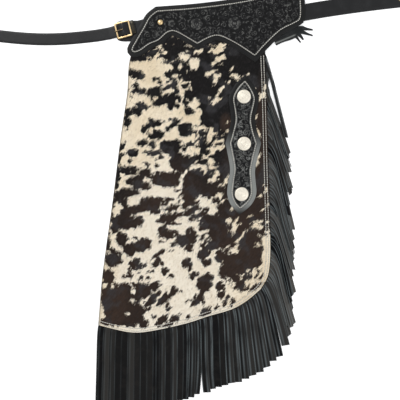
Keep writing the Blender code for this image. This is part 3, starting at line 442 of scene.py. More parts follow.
def edge_wander(spots):
    """Uneven edges of the patches in chart squares: waves of many lengths, longer along the hair."""
    draw = np.random.default_rng(WANDER_SEED)
    wander = np.zeros(len(spots))
    for length in np.linspace(*WANDER_LENGTHS, WANDER_WAVES):
        angle, phase = draw.uniform(0, 2 * math.pi, 2)
        stretch = 1 + 1.3 * abs(math.cos(angle + FLOW))
        along = spots[:, 0] * math.cos(angle) + spots[:, 1] * math.sin(angle)
        bend = 1.6 * np.sin(spots[:, 0] * 0.23 + phase) + 1.6 * np.cos(spots[:, 1] * 0.19 - phase)
        wander += WANDER_DEPTH * np.sin(2 * math.pi * (along + bend) / (length * stretch) + phase)
    return wander + BLACK_BIAS


def drawn_hide(points):
    """Black or cream at each point of the shown leg: positive in black hair."""
    spots = chart(points)
    black = patch_field(spots, PATCHES + SADDLE)
    cream = patch_field(spots, GAPS)
    field = np.minimum(black, -cream)
    return np.maximum(field, patch_field(spots, ISLANDS)) + edge_wander(spots)


def hidden_hide(points):
    """The other leg's own pattern: loose patches inside, a black saddle down the hip side."""
    draw = random.Random(OTHER_HIDE_SEED)
    rows, gaps = [], []
    for _ in range(150):
        x, y = draw.uniform(98, 200), draw.uniform(55, 325)
        size = draw.choice((2, 3, 4, 6, 9))
        rows.append((x, y, size * draw.uniform(1, 1.6), size * draw.uniform(0.6, 1), draw.uniform(0, 60)))
    for step in range(34):
        x, y = draw.uniform(212, 262), 50 + step * 7.6
        rows.append((x, y, draw.uniform(14, 22), draw.uniform(10, 15), draw.uniform(20, 80)))
    for _ in range(60):
        x, y = draw.uniform(188, 268), draw.uniform(50, 310)
        size = draw.choice((1.5, 2, 3, 4.5))
        gaps.append((x, y, size * draw.uniform(1.2, 2.4), size * draw.uniform(0.6, 1), draw.uniform(20, 70)))
    spots = chart(points)
    return np.minimum(patch_field(spots, rows), -patch_field(spots, gaps)) + edge_wander(spots)


def pale_field(points):
    """Where the cream hair is whiter."""
    return eased(patch_field(chart(points), PALE) / PALE_FADE + 1)


def brown_field(points):
    spots = chart(points)
    brown = np.zeros(len(points))
    for x, y, long, wide, lean, strength in BROWNS:
        inside = patch_field(spots, [(x, y, long, wide, lean)]) / min(long, wide)
        brown = np.maximum(brown, strength * eased(inside + 0.6))
    return brown


# Materials
class Look:
    """A material, with short ways to add and link its nodes."""

    def __init__(self, name, **settings):
        self.made = bpy.data.materials.new(name)
        self.made.use_nodes = True
        self.tree = self.made.node_tree
        self.shader = self.tree.nodes["Principled BSDF"]
        self.give(self.shader, settings)

    def give(self, node, inputs):
        """Sets or links inputs of a node, each by its name or by its number after an underscore."""
        for name, value in inputs.items():
            socket = node.inputs[int(name[1:]) if name[1:].isdigit() else name.replace("_", " ")]
            if isinstance(value, bpy.types.NodeSocket):
                self.tree.links.new(value, socket)
            else:
                socket.default_value = value

    def node(self, kind, settings=(), **inputs):
        made = self.tree.nodes.new(kind)
        for name, value in dict(settings).items():
            setattr(made, name, value)
        self.give(made, inputs)
        return made

    def place(self, turn=0.0, scale=(1, 1, 1)):
        """Object coordinates, turned about Z and then scaled."""
        where = self.node("ShaderNodeTexCoord").outputs["Object"]
        spun = self.node("ShaderNodeMapping", {"vector_type": "POINT"}, Vector=where, Rotation=(0, 0, -turn))
        return self.node("ShaderNodeMapping", Vector=spun.outputs[0], Scale=scale).outputs[0]

    def noise(self, where, scale, detail=3.0, roughness=0.55):
        made = self.node("ShaderNodeTexNoise", Vector=where, Scale=scale, Detail=detail, Roughness=roughness)
        return made.outputs["Fac"]

    def fibres(self, turn, scale, detail, roughness=0.55):
        """Noise drawn out along a direction."""
        return self.noise(self.place(turn, scale), 1.0, detail, roughness)

    def cells(self, where, scale):
        made = self.node("ShaderNodeTexVoronoi", {"feature": "F1"}, Vector=where, Scale=scale)
        return made.outputs["Distance"]

    def maths(self, operation, a, b):
        return self.node("ShaderNodeMath", {"operation": operation}, _0=a, _1=b).outputs[0]

    def plus(self, a, b):
        return self.maths("ADD", a, b)

    def times(self, a, b):
        return self.maths("MULTIPLY", a, b)

    def swing(self, noise, size):
        """Noise about 0 instead of about a half."""
        return self.times(self.maths("SUBTRACT", noise, 0.5), size)

    def between(self, value, low, high, to_low=0.0, to_high=1.0):
        ramp = {"interpolation_type": "SMOOTHSTEP"}
        ends = {"_1": low, "_2": high, "_3": to_low, "_4": to_high}
        return self.node("ShaderNodeMapRange", ramp, Value=value, **ends).outputs[0]

    def mix(self, share, a, b):
        return self.node("ShaderNodeMix", {"data_type": "RGBA"}, _0=share, _6=a, _7=b).outputs[2]

    def value(self, name):
        """A number that the mesh carries at each point."""
        return self.node("ShaderNodeAttribute", {"attribute_name": name}).outputs["Fac"]

    def finish(self, colour, height, strength, distance, roughness=None):
        """Links colour, bump and gloss to the shader, and returns the material."""
        bump = self.node("ShaderNodeBump", Height=height, Strength=strength, Distance=distance)
        self.give(self.shader, {"Base_Color": colour, "Normal": bump.outputs[0]})
        if roughness is not None:
            self.give(self.shader, {"Roughness": roughness})
        return self.made


def shade(red, green, blue):
    """Linear colour of a screen colour from 0 to 255."""
    parts = [part / 255 for part in (red, green, blue)]
    return (*(p / 12.92 if p <= 0.04045 else ((p + 0.055) / 1.055) ** 2.4 for p in parts), 1)


def hide_material(name, lean):
    """Hair-on hide: patches from the drawn field, ragged along the lie of the hair."""
    look = Look(name, Specular_IOR_Level=0.12)
    locks = look.fibres(lean, (36, 120, 36), 2.0)
    streak = look.fibres(lean, (90, 520, 90), 3.0, 0.6)
    fine = look.fibres(lean, (240, 1700, 240), 2.0, 0.6)
    specks = look.fibres(lean, (120, 420, 120), 1.0)
    broad = look.fibres(0, (14, 14, 14), 3.0)
    sheen = look.fibres(0, (24, 24, 24), 2.0)
    tone = look.value("tone")

    cream = look.mix(look.between(broad, 0.35, 0.7), shade(238, 226, 204), shade(228, 212, 184))
    cream = look.mix(look.times(look.value("pale"), 0.6), cream, shade(240, 234, 222))
    cream = look.mix(look.between(fine, 0.42, 0.72, 0, 0.5), cream, shade(196, 177, 146))
    cream = look.mix(look.between(tone, 0.35, 1.0, 0, 0.55), cream, shade(178, 155, 122))
    cream = look.mix(look.between(specks, 0.70, 0.78, 0, 0.75), cream, shade(120, 94, 70))

    brown = look.times(look.value("brown"), look.between(streak, 0.25, 0.6, 0.5, 1))
    black = look.mix(brown, shade(15, 13, 13), shade(56, 42, 34))
    # painted sheen: pale grey streaks on the black hair where light glances off it
    gloss = look.times(look.between(sheen, 0.5, 0.64), look.between(streak, 0.35, 0.6, 0.35, 1))
    black = look.mix(look.times(gloss, 0.75), black, shade(56, 55, 57))
    black = look.mix(look.between(tone, 0.55, 1.0, 0, 0.5), black, shade(54, 50, 50))

    ragged = look.plus(look.plus(look.swing(locks, 2.5), look.swing(streak, 4.5)), look.swing(fine, 2.5))
    share = look.between(look.plus(look.value("black"), ragged), -0.22, 0.28)
    colour = look.mix(share, cream, black)
    # painted shade along the inner edge, where the hide rolls down to the floor
    colour = look.mix(look.times(look.value("rim"), 0.75), colour, shade(48, 40, 34))
    height = look.plus(look.times(fine, 0.6), streak)
    return look.finish(colour, height, 0.5, 0.0012, look.between(fine, 0.3, 0.7, 0.45, 0.65))


def leather(name, colour, edge_colour, grain=900, strength=0.25, roughness=(0.38, 0.55)):
    """Smooth leather: pebbled grain, cloudy gloss, worn high spots. Paler, a painted highlight, where "lit" is set.
    """
    look = Look(name, Specular_IOR_Level=0.28)
    where = look.place()
    clouds = look.noise(where, 38, 4.0)
    fine = look.noise(where, 600, 2.0)
    worn = look.times(look.between(clouds, 0.45, 0.75), look.between(fine, 0.4, 0.8))
    colour = look.mix(look.times(worn, 0.6), colour, edge_colour)
    colour = look.mix(look.times(look.value("lit"), 0.95), colour, shade(132, 134, 131))
    height = look.plus(look.times(look.cells(where, grain), 0.7), look.times(fine, 0.4))
    return look.finish(colour, height, strength, 0.0006, look.between(clouds, 0.3, 0.7, *roughness))


def carved_material():
    """Tooled leather: dark stippled ground, polished raised work. Brighter where "lit" is set."""
    look = Look("carved_leather_look", Specular_IOR_Level=0.22)
    where = look.place()
    raised = look.value("raised")
    fine = look.noise(where, 700, 3.0)
    colour = look.mix(raised, shade(5, 5, 6), shade(24, 24, 25))
    patchy = look.between(look.noise(where, 150, 3.0), 0.44, 0.60)
    # worn high spots on the raised work, partly a painted highlight
    highlight_and_wear = look.times(look.between(raised, 0.5, 1.0), patchy)
    colour = look.mix(look.times(highlight_and_wear, 0.8), colour, shade(92, 92, 89))
    lit = look.times(look.value("lit"), look.between(raised, 0.55, 1.0))
    lit = look.times(lit, look.between(look.noise(where, 70, 2.0), 0.44, 0.62, 0.15, 0.85))
    colour = look.mix(lit, colour, shade(124, 125, 122))
    ground = look.times(look.cells(where, 520), look.between(raised, 0.1, 0.5, 1.0, 0.12))
    height = look.plus(ground, look.times(fine, 0.15))
    return look.finish(colour, height, 0.8, 0.0010, look.between(raised, 0, 1, 0.7, 0.36))


def suede_material():
    """Suede: soft nap, with a painted highlight, paler and bluer, along the strands' top edges, varied by wear."""
    look = Look("black_suede_look", Specular_IOR_Level=0.10)
    nap = look.noise(look.place(), 900, 4.0, 0.65)
    clouds = look.noise(look.place(), 45, 3.0)
    # tone: partly the strands' own tone, partly painted light and shade between strands
    colour = look.mix(look.value("tone"), shade(11, 11, 12), shade(74, 72, 69))
    colour = look.mix(look.between(clouds, 0.45, 0.75, 0, 0.2), colour, shade(50, 46, 42))
    # painted highlight along the strands' edges, varied by wear
    highlight_and_wear = look.times(look.value("highlight_and_wear"), look.between(nap, 0.3, 0.6, 0.5, 1))
    colour = look.mix(highlight_and_wear, colour, shade(112, 120, 122))
    return look.finish(colour, nap, 0.35, 0.0008, look.between(nap, 0.2, 0.8, 0.68, 0.92))


def metal(name, colour, dark, scale, roughness, metallic):
    """Polished metal with a soft tarnish in its cloudy hollows and fine scratches."""
    look = Look(name, Metallic=metallic)
    clouds = look.noise(look.place(), scale, 4.0)
    scratches = look.fibres(0.6, (900, 90, 900), 2.0)
    colour = look.mix(look.between(clouds, 0.5, 0.8, 0, 0.4), colour, dark)
    colour = look.mix(look.value("engraved"), colour, dark)
    return look.finish(colour, scratches, 0.06, 0.0003, look.between(scratches, 0.3, 0.7, *roughness))


def thread_material():
    look = Look("thread_look", Roughness=0.55)
    twist = look.fibres(0.7, (500, 1500, 500), 2.0)
    colour = look.mix(look.between(twist, 0.35, 0.65), shade(212, 209, 200), shade(160, 156, 146))
    return look.finish(colour, twist, 0.5, 0.0004)


def flesh_material():
    """The hide's split underside."""
    look = Look("flesh_side_look", Roughness=0.85)
    nap = look.noise(look.place(), 500, 4.0)
    return look.finish(look.mix(nap, shade(178, 160, 136), shade(206, 190, 166)), nap, 0.4, 0.0008)


HIDE_LEFT = hide_material("hide_look_left", FLOW)
HIDE_RIGHT = hide_material("hide_look_right", math.pi - FLOW)
FLESH = flesh_material()
SUEDE = suede_material()
BORDER_LEATHER = leather("border_leather_look", shade(9, 9, 9), shade(44, 44, 42))
STRAP_LEATHER = leather("strap_leather_look", shade(26, 26, 27), shade(56, 57, 59), 1100, 0.2, (0.34, 0.5))
TIE_LEATHER = leather("tie_leather_look", shade(16, 18, 19), shade(84, 92, 96), 1100, 0.2, (0.26, 0.4))
CARVED = carved_material()
BRASS = metal("brass_look", shade(232, 202, 152), shade(112, 74, 44), 120, (0.22, 0.4), 0.8)
TONGUE_METAL = metal("tongue_look", shade(118, 102, 80), shade(40, 34, 28), 260, (0.22, 0.4), 0.9)
KEEPER_METAL = metal("keeper_look", shade(62, 58, 50), shade(16, 15, 14), 260, (0.22, 0.4), 0.9)
SILVER = metal("silver_look", shade(240, 232, 216), shade(176, 160, 138), 160, (0.24, 0.42), 0.3)
THREAD = thread_material()


# Mesh helpers: a length or angle too small to matter, height of a triangle over its side,
# and how far inside a plate's edge its relief begins
SMALL, ROW_SHARE, RELIEF_FADE = 1e-9, 0.87, 0.001


def add_piece(name, verts, faces, finish, slot, node=None, mirrored=False, values=(), sharp=50, flesh=None):
    """One piece riding on the part. values are named numbers at each point."""
    points = np.array(verts, float)
    points[:, 1] += MIDDLE_Y
    if mirrored:
        points[:, 0] *= -1
        faces = [tuple(reversed(face)) for face in faces]
    data = bpy.data.meshes.new(name)
    data.from_pydata(points.tolist(), [], [tuple(int(i) for i in face) for face in faces])
    for key, numbers in dict(values).items():
        data.attributes.new(key, "FLOAT", "POINT").data.foreach_set("value", np.array(numbers, np.float32))
    data.materials.append(finish)
    if flesh:
        data.materials.append(FLESH)
        data.polygons.foreach_set("material_index", np.array(flesh, np.int32))
    data.shade_smooth()
    data.set_sharp_from_angle(angle=math.radians(sharp))
    obj = bpy.data.objects.new(name, data)
    bpy.context.scene.collection.objects.link(obj)
    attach(obj, "root")
    if node:
        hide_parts(node)
    return obj


def add_pair(name, verts, faces, finish, slot, **settings):
    return [
        add_piece(f"{name}_cover_{side}", verts, faces, finish, slot, f"{name}_{side}", side == "right", **settings)
        for side in ("left", "right")
    ]


def grid_faces(rows, columns, start=0, flip=False):
    faces = []
    for i in range(rows - 1):
        for j in range(columns - 1):
            a = start + i * columns + j
            face = (a, a + 1, a + columns + 1, a + columns)
            faces.append(face[::-1] if flip else face)
    return faces


def band(first, second, flip=False):
    """Faces between two closed rings of point numbers."""
    found = []
    for k, after in enumerate([*range(1, len(first)), 0]):
        face = (first[k], second[k], second[after], first[after])
        found.append((face[0], face[3], face[2], face[1]) if flip else face)
    return found


def moved_on(faces, count):
    """The faces with every point number raised."""
    return [tuple(index + count for index in face) for face in faces]


def shell(top, bottom, rim_rows):
    """Closed shell of two grids of points, joined by rows of points round its rim."""
    rows, columns = top.shape[:2]
    verts = [*top.reshape(-1, 3), *bottom.reshape(-1, 3)]
    count = rows * columns
    faces = grid_faces(rows, columns) + grid_faces(rows, columns, count, True)
    loop = list(range(columns))
    loop += [i * columns + columns - 1 for i in range(1, rows)]
    loop += [(rows - 1) * columns + j for j in range(columns - 2, -1, -1)]
    loop += [i * columns for i in range(rows - 2, 0, -1)]
    above = loop
    for share, out in rim_rows:
        ring = []
        for k, index in enumerate(loop):
            upper, lower = verts[index], verts[index + count]
            step = np.array(verts[loop[(k + 1) % len(loop)]]) - verts[loop[k - 1]]
            away = np.array((step[1], -step[0], 0)) / max(np.hypot(step[0], step[1]), SMALL)
            ring.append(len(verts))
            verts.append(upper * (1 - share) + lower * share + away * out)
        faces += band(above, ring)
        above = ring
    faces += band(above, [index + count for index in loop])
    return np.array(verts), faces


def dense_line(points, spacing):
    points = [Vector(point) for point in points]
    count = max(2, round(length_of(points) / spacing))
    return resample(points, [index / count for index in range(count + 1)])


def dense_outline(outline, spacing):
    """Closed outline with a point about every spacing, its own corners kept."""
    made = []
    for a, b in zip(outline, outline[1:] + outline[:1]):
        count = max(1, round((b - a).length / spacing))
        made += [a.lerp(b, k / count) for k in range(count)]
    return made


def packed_points(ring, spacing):
    """Points of a triangular grid over the box round a ring."""
    low, high = ring.min(axis=0), ring.max(axis=0)
    xs, ys = np.arange(low[0], high[0], spacing), np.arange(low[1], high[1], spacing * ROW_SHARE)
    return np.array([(x + (k % 2) * spacing / 2, y) for k, y in enumerate(ys) for x in xs])


def triangulated(points, edges):
    """Points and triangles of the area within the edges."""
    flat, _, faces, _, _, _ = delaunay_2d_cdt([Vector(p) for p in points], edges, [], 1, SMALL)
    return np.array([tuple(p) for p in flat]), faces


def rounded(gaps, reach):
    """How far a rounded edge lies below the face, as a share of its radius, at each distance from it."""
    return 1 - np.sqrt(1 - (1 - np.clip(gaps / reach, 0, 1)) ** 2)


def plate(outline, low, high, spacing, relief=None, edge=0.0008):
    """Closed plate whose top is dense, with a rounded upper edge and relief(points, gaps) on its top.

    Returns points, faces and each point's share of raised work.
    """
    rim = dense_outline(outline, spacing * 1.3)
    ring = np.array([tuple(point) for point in rim])
    closed = [*rim, rim[0]]
    count = len(rim)
    inner = packed_points(ring, spacing)
    inner = inner[distances(inner, closed) > spacing * 0.55]
    edges = [(k, (k + 1) % count) for k in range(count)]
    flat, faces = triangulated([*ring, *inner], edges)
    used = sorted({index for face in faces for index in face})
    order = {index: k for k, index in enumerate(used)}
    flat = flat[used]
    gaps = distances(flat, closed)
    height, raised = relief(flat, gaps) if relief else (np.zeros(len(flat)), np.ones(len(flat)))
    drop = edge * rounded(gaps, edge * 2)
    top = np.column_stack([flat, high - drop + height * eased(gaps / RELIEF_FADE)])
    base = len(top)
    faces = [tuple(order[index] for index in face) for face in faces]
    faces += band(range(base, base + count), range(count), True)
    _, caps = triangulated(ring, edges)
    faces += [tuple(base + index for index in reversed(face)) for face in caps]
    verts = np.concatenate([top, np.column_stack([ring, np.full(count, low)])])
    return verts, faces, np.concatenate([raised, np.zeros(count)])


# Leg panels and their hair
LEG_COLUMNS, LEG_ROWS = 146, 266
LEG_RIM = ((0.12, 0.0004), (0.5, 0.0006), (0.88, 0.0004))
HIDE_CREASE = 0.0007
# How far the painted shade reaches in from the inner edge
INNER_SHADE = 0.0045
# How far inside black and outside it the field is told apart, in chart squares
BLACK_LIMIT = 6
BLADES, FUR_SEED = 39000, {"left": 11, "right": 12}
BLADE_LENGTH, SHORTEST_BLADE, BLADE_HALF = (0.005, 0.0095), 0.0015, (0.0004, 0.0008)
BLADE_TURN, BLADE_FROM_EDGE = 0.13, 0.0008
BLADE_RISE, BLADE_SUNK, TIP_RISE = 0.0005, 0.0002, (0.0002, 0.0007)
HEM_STITCHES = (0.0030, 0.0095)
EDGE_LOOP = smooth(HEM)[:-1] + smooth(OUTER_EDGE) + smooth(TOP_EDGE)[::-1][1:] + INNER_CURVE[::-1][1:-1]


def leg_grid():
    """x, y of a dense grid over the leg panel, blended from its four edges."""
    us = [j / (LEG_COLUMNS - 1) for j in range(LEG_COLUMNS)]
    vs = [i / (LEG_ROWS - 1) for i in range(LEG_ROWS)]
    hem, top = (np.array([tuple(p) for p in resample(smooth(edge), us)]) for edge in (HEM, TOP_EDGE))
    inner, outer = (np.array([tuple(p) for p in resample(smooth(edge), vs)]) for edge in (INNER_EDGE, OUTER_EDGE))
    u = np.array(us)[None, :, None]
    v = np.array(vs)[:, None, None]
    corners = hem[0] * (1 - u) * (1 - v) + hem[-1] * u * (1 - v) + top[0] * (1 - u) * v + top[-1] * u * v
    return hem[None] * (1 - v) + top[None] * v + inner[:, None] * (1 - u) + outer[:, None] * u - corners


def hide_heights(flat):
    """Underside of the hide with its small creases, kept off the sewn edges and the floor."""
    low, level = hide_floor(flat)
    x, y = flat[:, 0], flat[:, 1]
    crease = np.sin(x * 61 + 2.2 * np.sin(y * 17)) * np.sin(y * 23 + x * 31) + 0.5 * np.sin(x * 140 - y * 55)
    edge = eased(distances(flat, INNER_CURVE) / 0.02)
    return np.maximum(low + HIDE_CREASE * crease * (1 - level) * edge, 0)


def hide_values(points, black, tone):
    """What the hide's material reads at each point."""
    return {
        "black": black,
        "brown": brown_field(points),
        "pale": pale_field(points),
        "tone": tone,
        # rim: painted shade near the inner edge, where the hide rolls down
        "rim": eased(1 - distances(points, INNER_CURVE) / INNER_SHADE),
    }


def make_leg(side, pattern, finish):
    points = leg_grid().reshape(-1, 2)
    bottom = np.column_stack([points, hide_heights(points)]).reshape(LEG_ROWS, LEG_COLUMNS, 3)
    verts, faces = shell(bottom + (0, 0, HIDE), bottom, LEG_RIM)
    quads = (LEG_ROWS - 1) * (LEG_COLUMNS - 1)
    under = [0] * quads + [1] * quads + [0] * (len(faces) - 2 * quads)
    flat = verts[:, :2]
    black = np.clip(pattern(flat), -BLACK_LIMIT, BLACK_LIMIT)
    values = hide_values(flat, black, np.full(len(verts), 0.3))
    mirrored = side == "right"
    name, node = f"hide_{side}", f"leg_{side}"
    return add_piece(name, verts, faces, finish, "hair_hide", node, mirrored, values, flesh=under)


def within(points, outline):
    """Whether each point lies inside a closed outline."""
    found = np.zeros(len(points), bool)
    for a, b in zip(outline, [*outline[1:], outline[0]]):
        if a.y == b.y:
            continue
        crossed = (points[:, 1] < a.y) != (points[:, 1] < b.y)
        found ^= crossed & (points[:, 0] < a.x + (points[:, 1] - a.y) * (b.x - a.x) / (b.y - a.y))
    return found


def at_cells(grid, rows, columns):
    """Points of a grid at broken row and column numbers."""
    i, j = rows.astype(int), columns.astype(int)
    v, u = (rows - i)[:, None], (columns - j)[:, None]
    low = (grid[i, j] * (1 - u) + grid[i, j + 1] * u) * (1 - v)
    return low + (grid[i + 1, j] * (1 - u) + grid[i + 1, j + 1] * u) * v


def make_fur(side, pattern, finish, above):
    """Hair over the whole leg as small tapered blades that lie along its flow, each closed."""
    draw = np.random.default_rng(FUR_SEED[side])
    rows = draw.uniform(0, LEG_ROWS - 1.001, BLADES)
    columns = draw.uniform(0, LEG_COLUMNS - 1.001, BLADES)
    roots = at_cells(leg_grid(), rows, columns)
    x, y = roots[:, 0], roots[:, 1]
    sway = 0.16 * np.sin(x * 37 + 2 * np.sin(y * 23)) + 0.12 * np.sin(y * 71 + x * 19)
    turn = FLOW + math.pi + sway + draw.normal(0, BLADE_TURN, BLADES)
    lengths = draw.uniform(*BLADE_LENGTH, BLADES)
    lengths = np.minimum(lengths, SHORTEST_BLADE + distances(roots, INNER_CURVE) * 1.1)
    ahead = np.stack([np.cos(turn), np.sin(turn)], axis=1)
    tips = roots + ahead * lengths[:, None]
    from_root, from_tip = distances(roots, FRINGE_PATH), distances(tips, FRINGE_PATH)
    keep = (np.minimum(from_root, from_tip) > BLADE_FROM_EDGE) & within(tips, EDGE_LOOP)
    for inset in HEM_STITCHES:
        keep &= (from_root - inset) * (from_tip - inset) > 0
    for outline in above:
        keep &= ~within(roots, outline) | ~within(tips, outline)
    roots, tips, ahead, lengths = roots[keep], tips[keep], ahead[keep], lengths[keep]
    count = len(roots)
    across = np.stack([-ahead[:, 1], ahead[:, 0]], axis=1) * draw.uniform(*BLADE_HALF, count)[:, None]
    base = hide_heights(roots) + HIDE
    far = hide_heights(tips) + HIDE
    corners = (
        (roots + across, base - BLADE_SUNK),
        (roots - across, base - BLADE_SUNK),
        (tips, far + draw.uniform(*TIP_RISE, count)),
        (roots + ahead * (lengths * 0.3)[:, None], (base * 0.7 + far * 0.3) + BLADE_RISE),
    )
    verts = np.stack([np.column_stack([spot, z]) for spot, z in corners], axis=1)
    start = np.arange(count)[:, None] * 4
    faces = np.concatenate([start + face for face in ((0, 1, 3), (1, 2, 3), (2, 0, 3), (0, 2, 1))])
    black = np.clip((pattern(roots) + draw.normal(0, 0.5, count)) * 5, -2 * BLACK_LIMIT, 2 * BLACK_LIMIT)
    values = hide_values(roots, black, draw.uniform(0, 1, count))
    values = {key: np.repeat(numbers, 4) for key, numbers in values.items()}
    verts = verts.reshape(-1, 3)
    return add_piece(f"hair_{side}", verts, faces, finish, "hair_hide", None, side == "right", values, 80)


# Fringe
STRAND_STEPS, STRAND_COLUMNS, FRINGE_SEED = 22, 7, 7
WIDER, WIDER_SIDE, WIDER_CORNER, LIFT = 0.0013, 0.0010, 0.0024, 0.0006
TUCK, TUCK_TOP, FLARE, WAVE = 0.014, 0.016, 0.009, 0.0045
LAST_IN, LAST_BACK, LAST_LONGER, LAST_WIDER = 0.0135, 0.0075, 0.034, 0.0022
UNDER_HIDE, RISE_OUTSIDE = 0.0015, 1.2
PARTING, PARTING_AT, PARTING_FADE = 0.0075, 16.5, 2.5
BOW = 0.010
LAST_BULGE = 0.0022
OVER_EVERY, OVER_LIFT, OVER_SWAY, OVER_WIDER = 4, 0.0036, 0.0030, 0.0018
PROUD, PROUD_FLARE = (46, 47), 0.007


def hang_angle(share):
    for (low, first), (high, last) in zip(HANG, HANG[1:]):
        if share <= high:
            return math.radians(first + (last - first) * (share - low) / (high - low))
    return math.radians(HANG[-1][1])


def strand_sections(root, outward, share, pitch):
    """Middle and half width of each section of a strand, as in the part."""
    angle = hang_angle(share)
    hang = Vector((math.sin(angle), -math.cos(angle)))
    turn = math.atan2(outward.x * hang.y - outward.y * hang.x, outward.dot(hang))
    spacing = pitch * math.cos(turn)
    wide = pitch * math.cos(turn * LEAVE_SHARE) - SLIT
    narrow = max(spacing - SLIT, NARROW_STRAND)
    overlap = ease((narrow + SLIT - spacing) / OVERLAP_FADE)
    tilt = math.asin((FRINGE + SHINGLE_GAP) / spacing) * overlap
    steps = STRAIGHT_STEPS if abs(turn) < STRAIGHT_TURN else BENT_STEPS
    middle = root
    travelled = 0
    sections = []
    for step in range(1, steps + 1):
        goal = FIRST_SECTION + (STRAND_LENGTH - FIRST_SECTION) * ((step - 1) / (steps - 1)) ** SECTION_SPREAD
        halfway = LEAVE_SHARE + (1 - LEAVE_SHARE) * ease((travelled + goal) / 2 / TURN_LENGTH)
        middle = middle + turned(outward, turn * halfway) * (goal - travelled)
        travelled = goal
        settled = ease(travelled / TURN_LENGTH)
        facing = turned(outward, turn * (LEAVE_SHARE + (1 - LEAVE_SHARE) * settled))
        lean = tilt * ease(travelled / TILT_LENGTH)
        width = wide + (narrow - wide) * settled
        across = Vector((-facing.y, facing.x, 0)) * math.cos(lean)
        across.z = -math.sin(lean)
        raised = width / 2 * math.sin(lean) + FRINGE / 2 * math.cos(lean)
        height = FRINGE / 2 + (raised + FLOOR_CLEARANCE - FRINGE / 2) * settled
        sections.append((Vector((middle.x, middle.y, max(height, raised))), across * width / 2))
    return sections


def fringe_marks():
    end_share = next(i for i, point in enumerate(FRINGE_PATH) if point.y >= FRINGE_TOP_Y and point.x > 0.4)
    path = FRINGE_PATH[: end_share + 1]
    return resample(path, [index / STRANDS for index in range(STRANDS + 1)]), length_of(path) / STRANDS


def strand_rows(root, outward, share, pitch, foot, trim):
    """Dense middle points and half widths of a strand, smooth through the part's sections."""
    sections = [(root.to_3d() + Vector((0, 0, FRINGE / 2)), foot)] + strand_sections(root, outward, share, pitch)
    middles = smooth([middle for middle, _ in sections], 8)
    halves = smooth([half for _, half in sections], 8)
    count = len(middles)
    picks = [min(count - 1.001, index / STRAND_STEPS * (count - 1) * trim) for index in range(STRAND_STEPS + 1)]
    rows = []
    for pick in picks:
        low, part = int(pick), pick - int(pick)
        rows.append((middles[low].lerp(middles[low + 1], part), halves[low].lerp(halves[low + 1], part)))
    return rows


